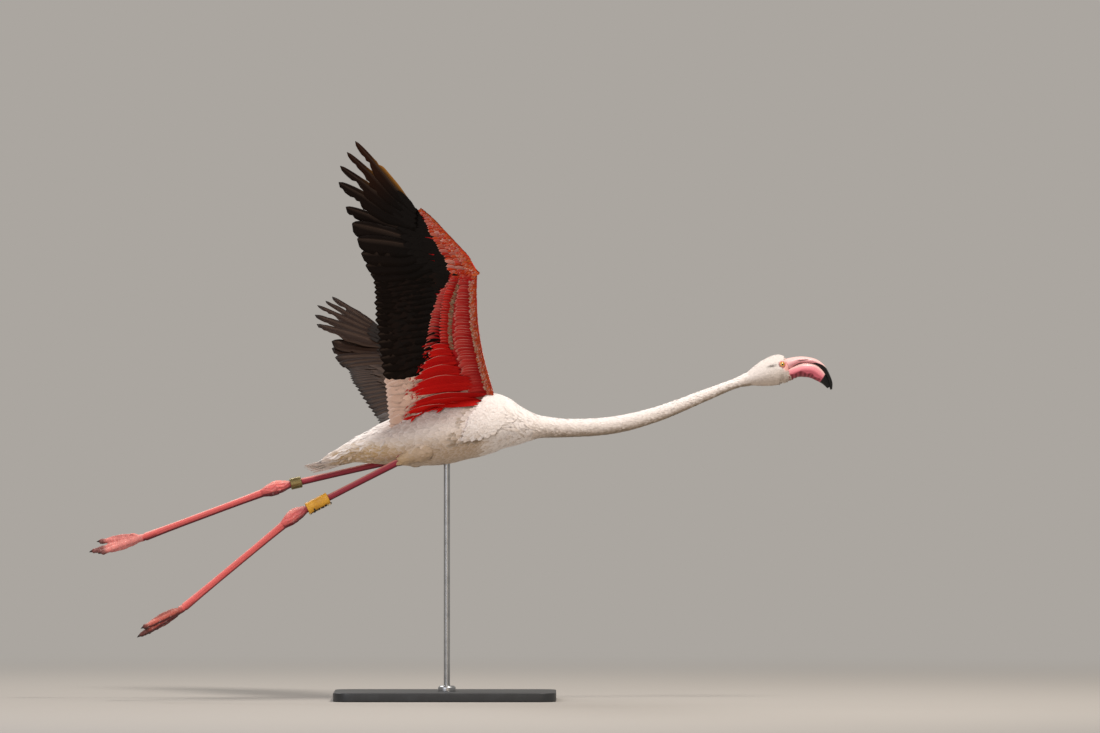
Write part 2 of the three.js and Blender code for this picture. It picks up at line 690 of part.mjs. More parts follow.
export default flamingo;
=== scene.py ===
"""A greater flamingo in full flight, life size, as a still museum model on a plain display stand.

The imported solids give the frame: metres, +X the way the bird flies, +Y its left side, +Z up.
Sizes below are millimetres, in the bird's own frame, whose origin is the middle between the shoulders.
One skin stands for the solids of flesh, and every feather is a thin mesh vane laid over it.
"""

import logging
import math
from dataclasses import dataclass, field
from enum import Enum
from functools import cached_property
from typing import Any, Callable, Sequence

import bpy
import numpy as np
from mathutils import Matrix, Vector


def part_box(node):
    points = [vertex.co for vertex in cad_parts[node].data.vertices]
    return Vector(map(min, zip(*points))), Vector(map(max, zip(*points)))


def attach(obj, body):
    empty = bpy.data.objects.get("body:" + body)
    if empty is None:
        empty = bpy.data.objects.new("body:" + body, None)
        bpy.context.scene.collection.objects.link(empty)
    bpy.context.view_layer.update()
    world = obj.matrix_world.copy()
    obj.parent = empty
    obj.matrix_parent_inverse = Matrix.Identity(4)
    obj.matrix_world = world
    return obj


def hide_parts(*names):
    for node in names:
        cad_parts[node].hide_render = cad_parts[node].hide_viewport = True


LOG = logging.getLogger("flamingo")
MM = 0.001
TURN = 2 * math.pi
QUARTER = math.pi / 2
NUDGE = 1e-3  # a small step along a surface's coordinates, for its slopes
Points = np.ndarray  # rows of x, y, z, or of whatever the docstring says
Place = Callable[[Points, Points], Points]
Paint = Callable[[Points, Points, bool], Points]
UP = np.array([0.0, 0.0, 1.0])

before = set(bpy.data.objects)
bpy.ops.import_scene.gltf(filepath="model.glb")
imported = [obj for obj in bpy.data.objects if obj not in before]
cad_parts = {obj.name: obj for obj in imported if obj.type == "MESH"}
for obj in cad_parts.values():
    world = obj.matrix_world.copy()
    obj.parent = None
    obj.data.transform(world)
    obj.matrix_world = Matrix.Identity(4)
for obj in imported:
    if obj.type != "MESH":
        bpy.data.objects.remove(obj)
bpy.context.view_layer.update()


# ---------- small sums ----------


def unit(vectors: Points) -> Points:
    """The vectors at length one."""
    return vectors / np.maximum(np.linalg.norm(vectors, axis=-1, keepdims=True), 1e-9)


def mix(a: Any, b: Any, share: Any) -> Any:
    """A value between a and b."""
    return a + (b - a) * share


def tint(a: Points, b: Points, share: Points) -> Points:
    """Colours between a and b, with one share for each row."""
    return mix(a, b, np.asarray(share, float)[..., None])


def ease(values: Any, low: float, high: float) -> Any:
    """0 below low, 1 above high, and a smooth rise between; low may be the larger."""
    share = np.clip((np.asarray(values, float) - low) / (high - low), 0, 1)
    return share * share * (3 - 2 * share)


def hill(values: Any, middle: Any, width: float) -> Any:
    """A smooth hump that is 1 at its middle and about a third at a width from it."""
    return np.exp(-(((values - middle) / width) ** 2))


def ring_of(first: Points, second: Points, turn: Points) -> Points:
    """Directions at angles from the first toward the second of two directions."""
    return first * np.cos(turn)[..., None] + second * np.sin(turn)[..., None]


def turns(sides: int) -> Points:
    """Angles of the corners of a ring with so many sides, from 0."""
    return np.linspace(0, TURN, sides, endpoint=False)


def linear(code: str) -> Points:
    """An sRGB hex colour as linear red, green and blue."""
    value = np.array([int(code[i : i + 2], 16) / 255 for i in (1, 3, 5)])
    return np.where(value <= 0.04045, value / 12.92, ((value + 0.055) / 1.055) ** 2.4)


def ripple(points: Points, size: float) -> Points:
    """A smooth field from -1 to 1 whose patches are about size across."""
    scaled = points * (TURN / size)
    x, y, z = scaled[..., 0], scaled[..., 1], scaled[..., 2]
    first = np.sin(x + 1.7 * np.sin(0.6 * y + 0.4)) * np.sin(y * 0.9 + 1.3 * np.sin(0.7 * z))
    second = np.sin(1.9 * z + 0.8 * x) * np.sin(2.3 * x - 1.1 * y + 0.5)
    return 0.65 * first + 0.35 * second


def solid_box(node: str) -> tuple[Points, Points]:
    """The low and the high corner of one solid's box, in millimetres."""
    low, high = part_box(node)
    return np.array(low) / MM, np.array(high) / MM


class Course:
    """A smooth line through points, the same centripetal curve that the solids follow."""

    def __init__(self, points: Sequence[Sequence[float]]) -> None:
        """Keeps the points and one more beyond each end."""
        given = np.asarray(points, float)
        self.points = np.vstack([2 * given[0] - given[1], given, 2 * given[-1] - given[-2]])

    def at(self, share: Points) -> Points:
        """Points at shares 0 to 1 of the line, and straight on beyond its ends.

        Args:
            share: Where along the line, any shape.

        Returns:
            The points, in the shape of share with one more axis.
        """
        share = np.asarray(share, float)
        inside = np.clip(share, 0.0, 1.0)
        near = np.clip(inside, NUDGE, 1 - NUDGE)
        slope = (self._inside(near + NUDGE) - self._inside(near - NUDGE)) / (2 * NUDGE)
        return self._inside(inside) + slope * (share - inside)[..., None]

    def _inside(self, share: Points) -> Points:
        """Points at shares that lie between 0 and 1.

        Args:
            share: Where along the line.

        Returns:
            The points of the cubic through the four nearest given points.
        """
        spans = len(self.points) - 3
        index = np.minimum((share * spans).astype(int), spans - 1)
        w = (share * spans - index)[..., None]
        p0, p1, p2, p3 = (self.points[index + k] for k in range(4))
        gaps = [np.sum((b - a) ** 2, -1, keepdims=True) ** 0.25 for a, b in ((p0, p1), (p1, p2), (p2, p3))]
        d0, d1, d2 = (np.maximum(gap, 1e-4) for gap in gaps)
        m1 = ((p1 - p0) / d0 - (p2 - p0) / (d0 + d1) + (p2 - p1) / d1) * d1
        m2 = ((p2 - p1) / d1 - (p3 - p1) / (d1 + d2) + (p3 - p2) / d2) * d1
        cubic = (2 * p1 - 2 * p2 + m1 + m2) * w**3
        return p1 + m1 * w + (3 * p2 - 3 * p1 - 2 * m1 - m2) * w**2 + cubic


# ---------- where the bird is ----------


def spun(a: Points, b: Points, angle: float) -> tuple[Points, Points]:
    """Two coordinates after a turn from the first axis toward the second."""
    return a * math.cos(angle) - b * math.sin(angle), a * math.sin(angle) + b * math.cos(angle)


@dataclass(frozen=True)
class Flight:
    """How the bird lies in the frame: its heading, its bank and the place of its shoulders."""

    heading: float = math.radians(4)
    bank: float = math.radians(18)
    ahead_of_rod: float = 75.0
    left_of_rod: float = 5.0
    below_eye: float = 133.7

    @cached_property
    def shoulders(self) -> Points:
        """The middle between the shoulders, found from the rod and the height of an eye."""
        rod = sum(solid_box("stand_rod")) / 2
        eye = sum(solid_box("eye_right")) / 2
        return np.array([rod[0] + self.ahead_of_rod, rod[1] + self.left_of_rod, eye[2] - self.below_eye])

    def body(self, points: Points) -> Points:
        """Points of the bird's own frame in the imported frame, still in millimetres."""
        x, y = spun(points[..., 0], points[..., 1], self.heading)
        return np.stack([x, y, points[..., 2]], -1) + self.shoulders

    def own(self, points: Points) -> Points:
        """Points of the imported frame, in millimetres, in the bird's own frame."""
        away = points - self.shoulders
        return np.stack([*spun(away[..., 0], away[..., 1], -self.heading), away[..., 2]], -1)

    def wing(self, points: Points, side: int) -> Points:
        """Points of a left wing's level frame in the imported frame; side is 1 for left and -1 for right."""
        y, z = spun(side * points[..., 1], points[..., 2], -self.bank)
        return self.body(np.stack([points[..., 0], y, z], -1))


FLIGHT = Flight()


class Side(Enum):
    """The two sides of the bird."""

    RIGHT = "right"
    LEFT = "left"

    @property
    def sign(self) -> int:
        """1 for the left side and -1 for the right."""
        return 1 if self is Side.LEFT else -1


class Face(Enum):
    """The two faces of a wing."""

    UPPER = 1
    UNDER = -1


@dataclass(frozen=True)
class Station:
    """One section of a limb or trunk: its middle, half depth, half width and share of the bank."""

    x: float
    z: float
    deep: float
    wide: float
    bank: float = 0.0
    y: float = 0.0


class Loft:
    """A round form through stations; place() gives points on it from a share and an angle from the top."""

    THIN = 0.3  # mm, the least half width it may have

    def __init__(self, stations: Sequence[Station], bank: float = 0.0) -> None:
        """Lays the courses of the middles and of the sizes."""
        self.middles = Course([[s.x, s.y, s.z] for s in stations])
        self.sizes = Course([[s.deep, s.wide, s.bank] for s in stations])
        self.bank = bank

    def axes(self, share: Points) -> tuple[Points, Points]:
        """The directions to the left and up at each share."""
        ahead = unit(self.middles.at(share + NUDGE) - self.middles.at(share - NUDGE))
        left = unit(np.cross(UP, ahead))
        up = np.cross(ahead, left)
        roll = -self.sizes.at(share)[..., 2] * self.bank
        return ring_of(left, up, roll), ring_of(up, -left, roll)

    def own(self, share: Points, angle: Points, grow: float = 0.0) -> Points:
        """Points on the form in the bird's own frame.

        Args:
            share: Share of the form's length.
            angle: Angle from the top, toward the left.
            grow: How far outside the form they lie.

        Returns:
            The points.
        """
        size = self.sizes.at(share)
        left, up = self.axes(share)
        deep = np.maximum(size[..., 0:1] + grow, self.THIN)
        wide = np.maximum(size[..., 1:2] + grow, self.THIN)
        return self.middles.at(share) + ring_of(up * deep, left * wide, angle)

    def place(self, share: Points, angle: Points) -> Points:
        """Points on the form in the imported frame."""
        return FLIGHT.body(self.own(np.asarray(share, float), np.asarray(angle, float)))


SPINE = Loft(
    [
        Station(-331, -80, 11, 31, 1),
        Station(-286, -62, 23, 39, 1),
        Station(-225, -48, 43, 50, 1),
        Station(-158, -34, 61, 65, 1),
        Station(-90, -19, 73, 75, 1),
        Station(-24, -3, 74, 74, 1),
        Station(38, 2, 65, 62, 1),
        Station(84, -4, 45, 45, 0.8),
        Station(135, -7, 24.5, 25, 0.5),
        Station(200, -9.5, 20, 20, 0.3),
        Station(300, -3, 19, 18.5, 0.2),
        Station(400, 22, 16.3, 16, 0.1),
        Station(500, 60.9, 12.9, 13.4),
        Station(575, 90.5, 10.7, 12.2),
        Station(611, 102.3, 16.8, 17),
    ],
    FLIGHT.bank,
)
NECK_FROM = 8 / 14  # share of the spine where the neck begins

HEAD = Loft(
    [
        Station(611, 102.3, 16.8, 17),
        Station(629, 108.4, 24.4, 21.5),
        Station(651, 115.6, 31.1, 24.5),
        Station(673, 121.5, 34, 23.5),
        Station(687, 121, 29.5, 20),
        Station(697, 122, 26, 17.5),
    ]
)


# ---------- finishes ----------


def add_node(tree: bpy.types.NodeTree, kind: str, inputs: dict[Any, Any], **settings: Any) -> bpy.types.Node:
    """Adds one node, sets it and links it.

    Args:
        tree: The material's node tree.
        kind: The node's type name, without the words that all of them start with.
        inputs: Values, sockets or nodes, whose first output is taken, keyed by the input's name or index.
        **settings: The node's own properties.

    Returns:
        The node.
    """
    node = tree.nodes.new("ShaderNode" + kind)
    for name, value in settings.items():
        setattr(node, name, value)
    for key, value in inputs.items():
        value = value.outputs[0] if isinstance(value, bpy.types.Node) else value
        if isinstance(value, bpy.types.NodeSocket):
            tree.links.new(value, node.inputs[key])
        else:
            node.inputs[key].default_value = value
    return node


@dataclass(frozen=True)
class Finish:
    """What all finishes share: a name, and one shader with this finish's inputs."""

    name: str

    def make(self) -> bpy.types.Material:
        """The material."""
        material = bpy.data.materials.new(self.name)
        material.use_nodes = True
        material.node_tree.nodes.clear()
        add_node(material.node_tree, "OutputMaterial", {"Surface": self.shader(material.node_tree)})
        return material

    def shader(self, tree: bpy.types.NodeTree) -> bpy.types.Node:
        """The shader that the material ends in."""
        return add_node(tree, "BsdfPrincipled", self.inputs(tree))

    def inputs(self, tree: bpy.types.NodeTree) -> dict[str, Any]:
        """The inputs of that shader; each finish has its own."""
        raise NotImplementedError

    @staticmethod
    def tinted(tree: bpy.types.NodeTree, pattern: Any, span: tuple, shades: tuple) -> bpy.types.NodeSocket:
        """The mesh's own tints, made darker and lighter by a pattern.

        Args:
            tree: The material's node tree.
            pattern: The pattern's socket or node.
            span: The low and the high level of the pattern that count.
            shades: What the tints are multiplied by at these two levels.

        Returns:
            The socket of the colour.
        """
        colour = add_node(tree, "VertexColor", {}, layer_name="Tint")
        shade = add_node(tree, "MapRange", dict(enumerate((pattern, *span, *shades))))
        both = {0: 1.0, 6: colour, 7: shade}
        return add_node(tree, "Mix", both, data_type="RGBA", blend_type="MULTIPLY").outputs[2]


@dataclass(frozen=True)
class FeatherKeratin(Finish):
    """Keratin vane grown in barbs: a soft, dry surface with fine slanting lines on both sides of a shaft.

    The real barbs stand 0.3 mm apart; they are drawn coarser, so that they show.
    """

    roughness: float = 0.72
    sheen: float = 0.15
    gloss: float = 0.32  # how much of keratin's own reflection the ruffled barbs keep
    barb_gap: float = 1.3  # mm
    slant: float = 1.1  # run along the shaft for each millimetre across
    contrast: float = 0.16
    relief: float = 0.12  # mm
    patch_scale: float = 0.22  # of the patches in which the barbs part a little
    parting: float = 2.2  # mm, how far the barbs shift from patch to patch

    def inputs(self, tree: bpy.types.NodeTree) -> dict[str, Any]:
        """Slanting barbs that wander a little, as shade and as relief."""
        lie = add_node(tree, "UVMap", {}, uv_map="Vane")
        place = add_node(tree, "SeparateXYZ", {0: lie})
        across = add_node(tree, "Math", {0: place.outputs[0]}, operation="ABSOLUTE")
        slanted = add_node(tree, "Math", {0: across, 1: self.slant}, operation="MULTIPLY")
        run = add_node(tree, "Math", {0: place.outputs[1], 1: slanted}, operation="SUBTRACT")
        patch = add_node(tree, "TexNoise", {"Vector": lie, "Scale": self.patch_scale, "Detail": 2.0})
        wander = add_node(tree, "Math", {0: patch, 1: self.parting, 2: run}, operation="MULTIPLY_ADD")
        phase = add_node(tree, "Math", {0: wander, 1: TURN / self.barb_gap}, operation="MULTIPLY")
        wave = add_node(tree, "Math", {0: phase}, operation="SINE")
        level = add_node(tree, "Math", {0: wave, 1: 0.5, 2: 0.5}, operation="MULTIPLY_ADD")
        relief = {"Strength": 0.55, "Distance": self.relief * MM, "Height": level}
        return {
            "Base Color": self.tinted(tree, level, (0.0, 1.0), (1 - self.contrast, 1 + self.contrast * 0.4)),
            "Roughness": self.roughness,
            "IOR": 1.54,
            "Specular IOR Level": self.gloss,
            "Sheen Weight": self.sheen,
            "Sheen Roughness": 0.5,
            "Normal": add_node(tree, "Bump", relief),
        }


@dataclass(frozen=True)
class BareSkin(Finish):
    """Living skin cast in painted resin: reticulate scales, a soft waxy gloss and a mottled pink."""

    roughness: float = 0.46
    grain: float = 0.9  # mm, the size of the fine pebbling
    relief: float = 0.14  # mm

    def inputs(self, tree: bpy.types.NodeTree) -> dict[str, Any]:
        """Pebbled relief, and blotches that change colour and gloss."""
        where = add_node(tree, "TexCoord", {}).outputs["Object"]
        cells = {"Vector": where, "Scale": 1 / (self.grain * MM), "Randomness": 1.0}
        pebble = add_node(tree, "TexVoronoi", cells, feature="DISTANCE_TO_EDGE")
        blotch = add_node(tree, "TexNoise", {"Vector": where, "Scale": 160.0, "Detail": 5.0})
        rise = add_node(tree, "MapRange", {0: pebble, 1: 0.0, 2: 0.16, 3: 0.0, 4: 1.0})
        relief = {"Strength": 0.6, "Distance": self.relief * MM, "Height": rise}
        gloss = {0: blotch, 3: self.roughness - 0.08, 4: self.roughness + 0.12}
        return {
            "Base Color": self.tinted(tree, blotch, (0.3, 0.75), (0.92, 1.05)),
            "Roughness": add_node(tree, "MapRange", gloss),
            "IOR": 1.42,
            "Subsurface Weight": 0.06,
            "Subsurface Radius": (0.004, 0.0015, 0.001),
            "Subsurface Scale": 0.6,
            "Normal": add_node(tree, "Bump", relief),
        }


@dataclass(frozen=True)
class Horn(Finish):
    """Keratin horn, polished by wear: smooth, a little waxy, with faint growth lines."""

    roughness: float = 0.34
    coat: float = 0.06
    line_gap: float = 2.2  # mm

    def inputs(self, tree: bpy.types.NodeTree) -> dict[str, Any]:
        """Faint growth lines under a thin wax."""
        where = add_node(tree, "TexCoord", {}).outputs["Object"]
        streak = add_node(tree, "TexNoise", {"Vector": where, "Scale": 1 / (self.line_gap * MM), "Detail": 4.0})
        return {
            "Base Color": self.tinted(tree, streak, (0.3, 0.7), (0.9, 1.06)),
            "Roughness": self.roughness,
            "IOR": 1.54,
            "Specular IOR Level": 0.3,
            "Coat Weight": self.coat,
            "Coat Roughness": 0.2,
            "Normal": add_node(tree, "Bump", {"Strength": 0.3, "Distance": 0.1 * MM, "Height": streak}),
        }


@dataclass(frozen=True)
class GlassEye(Finish):
    """A blown glass eye with a painted iris: a hard, wet gloss over the colour."""

    def inputs(self, tree: bpy.types.NodeTree) -> dict[str, Any]:
        """Fine flecks in the iris under clear glass."""
        where = add_node(tree, "TexCoord", {}).outputs["Object"]
        fleck = add_node(tree, "TexNoise", {"Vector": where, "Scale": 1400.0})
        return {
            "Base Color": self.tinted(tree, fleck, (0.3, 0.7), (0.86, 1.1)),
            "Roughness": 0.12,
            "IOR": 1.5,
            "Coat Weight": 1.0,
            "Coat Roughness": 0.02,
        }


@dataclass(frozen=True)
class Hard(Finish):
    """A made surface of one colour: enamelled, moulded or turned, with fine grit and a few rubbed patches."""

    colour: str
    worn: str
    roughness: float
    metallic: float = 0.0
    grit: float = 0.8  # mm
    relief: float = 0.03  # mm
    stretch: tuple[float, float, float] = (1.0, 1.0, 1.0)  # the grit drawn out, as brushing does

    def inputs(self, tree: bpy.types.NodeTree) -> dict[str, Any]:
        """Grit that changes gloss and relief, and patches rubbed to a second colour."""
        where = add_node(tree, "TexCoord", {}).outputs["Object"]
        drawn = add_node(tree, "Mapping", {"Vector": where, "Scale": self.stretch})
        grit = add_node(tree, "TexNoise", {"Vector": drawn, "Scale": 1 / (self.grit * MM), "Detail": 3.0})
        patch = add_node(tree, "TexNoise", {"Vector": where, "Scale": 45.0, "Detail": 6.0})
        rub = add_node(tree, "MapRange", {0: patch, 1: 0.45, 2: 0.75, 3: 0.0, 4: 0.8})
        both = {0: rub, 6: (*linear(self.colour), 1), 7: (*linear(self.worn), 1)}
        gloss = {0: grit, 3: self.roughness - 0.06, 4: self.roughness + 0.1}
        relief = {"Strength": 0.4, "Distance": self.relief * MM, "Height": grit}
        return {
            "Base Color": add_node(tree, "Mix", both, data_type="RGBA").outputs[2],
            "Roughness": add_node(tree, "MapRange", gloss),
            "Metallic": self.metallic,
            "Normal": add_node(tree, "Bump", relief),
        }


@dataclass(frozen=True)
class FloorPaper(Finish):
    """Matt background paper with a fine tooth, which fades into the air round the set."""

    colour: str

    def shader(self, tree: bpy.types.NodeTree) -> bpy.types.Node:
        """Paper close by and the air's own light far off, by the mesh's tint."""
        paper = (*linear(self.colour), 1)
        grain = add_node(tree, "TexNoise", {"Scale": 900.0, "Detail": 2.0})
        tooth = add_node(tree, "Bump", {"Strength": 0.1, "Distance": 0.2 * MM, "Height": grain})
        matt = add_node(tree, "BsdfPrincipled", {"Base Color": paper, "Roughness": 0.9, "Normal": tooth})
        air = add_node(tree, "Emission", {"Color": paper, "Strength": 1.0})
        far = add_node(tree, "VertexColor", {}, layer_name="Tint")
        return add_node(tree, "MixShader", {0: far, 1: matt, 2: air})


# ---------- meshes ----------


def mesh_piece(
    name: str, points: Points, faces: Points, colours: Points, finish: bpy.types.Material
) -> bpy.types.Object:
    """Makes one smooth mesh from points in millimetres.

    Args:
        name: The piece's name.
        points: Rows of x, y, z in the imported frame.
        faces: Rows of four corners; a triangle repeats its last corner.
        colours: One linear colour for each point.
        finish: The material.

    Returns:
        The new object.
    """
    mesh = bpy.data.meshes.new(name)
    mesh.vertices.add(len(points))
    mesh.vertices.foreach_set("co", (points * MM).astype(np.float32).ravel())
    keep = np.ones(faces.shape, bool)
    keep[faces[:, 2] == faces[:, 3], 3] = False
    counts = keep.sum(1)
    starts = np.concatenate([[0], np.cumsum(counts)[:-1]])
    mesh.loops.add(int(counts.sum()))
    mesh.loops.foreach_set("vertex_index", faces[keep].astype(np.int32))
    mesh.polygons.add(len(faces))
    mesh.polygons.foreach_set("loop_start", starts.astype(np.int32))
    mesh.polygons.foreach_set("use_smooth", np.ones(len(faces), bool))
    mesh.update(calc_edges=True)
    paint = mesh.color_attributes.new(name="Tint", type="FLOAT_COLOR", domain="POINT")
    opaque = np.concatenate([np.clip(colours, 0, 1), np.ones((len(points), 1))], 1)
    paint.data.foreach_set("color", opaque.astype(np.float32).ravel())
    mesh.materials.append(finish)
    piece = bpy.data.objects.new(name, mesh)
    bpy.context.scene.collection.objects.link(piece)
    return piece


def add_uv(piece: bpy.types.Object, name: str, places: Points) -> None:
    """Adds a UV map that gives each point one place.

    Args:
        piece: The object.
        name: The map's name.
        places: One row of two for each point.
    """
    mesh = piece.data
    corners = np.zeros(len(mesh.loops), np.int32)
    mesh.loops.foreach_get("vertex_index", corners)
    layer = mesh.uv_layers.new(name=name)
    layer.uv.foreach_set("vector", places[corners].astype(np.float32).ravel())


def settle(piece: bpy.types.Object, slot: str, *nodes: str) -> None:
    """Rides a piece on the body and hides the solids that it stands for.

    Args:
        piece: The object.
        slot: The slot of its finish; not used.
        *nodes: The solids that it replaces, or none for a piece that only adds.
    """
    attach(piece, "root")
    if nodes:
        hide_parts(*nodes)
    LOG.info("%s: %d faces", piece.name, len(piece.data.polygons))


def grid_faces(rows: int, columns: int, closed: bool = False) -> Points:
    """Faces of a grid of points.

    Args:
        rows: How many rows of points there are.
        columns: How many points a row has.
        closed: True if the last column is joined to the first.

    Returns:
        Rows of four corners.
    """
    spans = columns if closed else columns - 1
    row, column = np.meshgrid(np.arange(rows - 1), np.arange(spans), indexing="ij")
    a, b = row * columns + column, row * columns + (column + 1) % columns
    return np.stack([a, b, b + columns, a + columns], -1).reshape(-1, 4)


def fan(rim: Points, centre: int, flip: bool = False) -> Points:
    """Triangles that close a hole.

    Args:
        rim: Numbers of the points round the hole.
        centre: Number of the point in its middle.
        flip: True if they face the other way.

    Returns:
        Rows of four corners, the last one repeated.
    """
    after = np.roll(rim, -1)
    first, second = (after, rim) if flip else (rim, after)
    return np.stack([first, second, np.full_like(rim, centre), np.full_like(rim, centre)], -1)


class Bundle:
    """Meshes gathered into one piece."""

    def __init__(self, name: str) -> None:
        """Starts with nothing in it."""
        self.name = name
        self.parts: dict[str, list[Points]] = {key: [] for key in ("points", "faces", "colours", "bake", "vane")}
        self.count = 0

    def add(
        self, points: Points, faces: Points, colours: Points, bake: Points | None = None, vane: Points | None = None
    ) -> None:
        """Adds one mesh.

        Args:
            points: Its points in millimetres.
            faces: Its faces, numbered from its own first point.
            colours: One linear colour, or one for each point.
            bake: Each point's place on the unwrapped skin, or None.
            vane: Each point's place across and along its feather in millimetres, or None.
        """
        points = points.reshape(-1, 3)
        flat = np.zeros((len(points), 2))
        self.parts["points"].append(points)
        self.parts["faces"].append(faces + self.count)
        self.parts["colours"].append(np.broadcast_to(colours.reshape(-1, 3), points.shape))
        self.parts["bake"].append(flat if bake is None else bake.reshape(-1, 2))
        self.parts["vane"].append(flat if vane is None else vane.reshape(-1, 2))
        self.count += len(points)

    def build(self, finish: bpy.types.Material, maps: Sequence[str] = ("OFBake", "Vane")) -> bpy.types.Object:
        """The one mesh.

        Args:
            finish: The material.
            maps: The UV maps that it gets.

        Returns:
            The new object.
        """
        whole = {key: np.concatenate(rows) for key, rows in self.parts.items()}
        made = mesh_piece(self.name, whole["points"], whole["faces"], whole["colours"], finish)
        for name in maps:
            add_uv(made, name, whole["bake" if name == "OFBake" else "vane"])
        return made


# ---------- feathers ----------


@dataclass(frozen=True)
class Vane:
    """The cut of one kind of small feather, in millimetres."""

    length: float
    width: float
    rows: int = 5
    rise: float = 1.4  # height of the tip over the skin
    sink: float = 0.5  # depth of the root in it
    peak: float = 0.6  # share of the length where it is widest
    blunt: float = 2.4  # 1 is a point, 3 a round end
    ragged: float = 0.0
    yaw: float = 0.12  # spread of its direction, in radians
    roll: float = 0.08
    droop: float = 0.16  # how far its edges curve down, as a share of its half width
    spread: float = 0.12  # spread of its size
    tilt: float = 0.0  # how far a slat's outer edge is turned up, in radians
    columns: tuple[float, ...] = (-1.0, 0.0, 1.0)  # where its points lie across, from edge to edge

    def half_width(self, share: Points) -> Points:
        """Half the width at each share of the length: a narrow root, a swelling and a rounded end."""
        grow = np.clip(share / self.peak, 0, 1) ** 0.55
        fade = 1 - np.clip((share - self.peak) / (1 - self.peak), 0, 1) ** self.blunt
        return self.width / 2 * mix(0.12, 1.0, grow) * np.maximum(fade, 0.06) ** 0.7


@dataclass
class Shafts:
    """Where a set of feathers of one cut lies."""

    middle: Points  # one row of points for each feather
    normal: Points  # the surface's normals at these points
    size: Points  # each feather's size against its cut
    bake: Points  # each root's place on the unwrapped skin
    outer: int = 0  # the edge that a slat turns up and that alone keeps its rim, 1 or -1, or 0 for none


@dataclass
class Tints:
    """What colours a set of feathers has, one row for each feather."""

    root: Points
    tip: Points
    edge: Points | None = None  # the rim's colour, or None
    start: float = 0.35  # share of the length where the tip's colour begins

    def over(self, across: Points, share: Points, outer: int) -> Points:
        """The colours of every point.

        Args:
            across: Where the points lie across, from -1 to 1.
            share: Where they lie along.
            outer: The edge that alone keeps its rim, or 0.

        Returns:
            Colours by feather, row and column.
        """
        blend = ease(share, self.start, 1.0)[None, :, None]
        shaft = mix(self.root[:, None, :], self.tip[:, None, :], blend)
        colours = np.repeat(shaft[:, :, None], len(across), 2)
        if self.edge is None:
            return colours
        inner = max(abs(c) for c in across if abs(c) < 1)
        rim = ease(np.abs(across), inner, 1.0) * ease(share, 0.15, 0.6)[:, None]
        rim = np.where(across * outer < 0, 0.15 * rim, rim)
        colours = mix(colours, self.edge[:, None, None, :], (0.85 * rim)[None, ..., None])
        colours[:, -1] = mix(colours[:, -1], self.edge[:, None, :], 0.8)
        return colours


def lay_vanes(bundle: Bundle, vane: Vane, shafts: Shafts, tints: Tints, rng: np.random.Generator) -> None:
    """Builds vanes on the given shafts.

    Args:
        bundle: What they are gathered in.
        vane: Their cut.
        shafts: Where they lie.
        tints: Their colours.
        rng: The random draws.
    """
    count, rows = shafts.middle.shape[:2]
    across = np.array(vane.columns)
    share = np.linspace(0, 1, rows)
    side = unit(np.cross(shafts.normal, unit(np.gradient(shafts.middle, axis=1))))
    roll = rng.normal(vane.tilt * shafts.outer, vane.roll, count)[:, None]
    side = ring_of(side, shafts.normal, roll)
    half = vane.half_width(share)[None, :] * shafts.size[:, None]
    torn = 1 - vane.ragged * rng.random((count, rows, 2))
    torn[:, 0] = 1
    reach = across * half[..., None] * np.where(across < 0, torn[..., :1], torn[..., 1:])
    dip = vane.droop * np.abs(across) ** 1.5 * half[..., None]
    points = shafts.middle[:, :, None] + side[:, :, None] * reach[..., None]
    points = points - shafts.normal[:, :, None] * dip[..., None]
    first = np.arange(count) * rows * len(across)
    faces = (grid_faces(rows, len(across))[None] + first[:, None, None]).reshape(-1, 4)
    patch = 0.003
    local = np.zeros((count, rows, len(across), 2))
    local[..., 0] = across * 0.5 * patch
    local[..., 1] = (share[:, None] - 0.5) * patch
    local += shafts.bake[:, None, None, :]
    lie = np.zeros_like(local)
    lie[..., 0] = across * half[..., None]
    lie[..., 1] = share[None, :, None] * vane.length * shafts.size[:, None, None]
    bundle.add(points, faces, tints.over(across, share, shafts.outer), np.clip(local, 0.0, 1.0), lie)


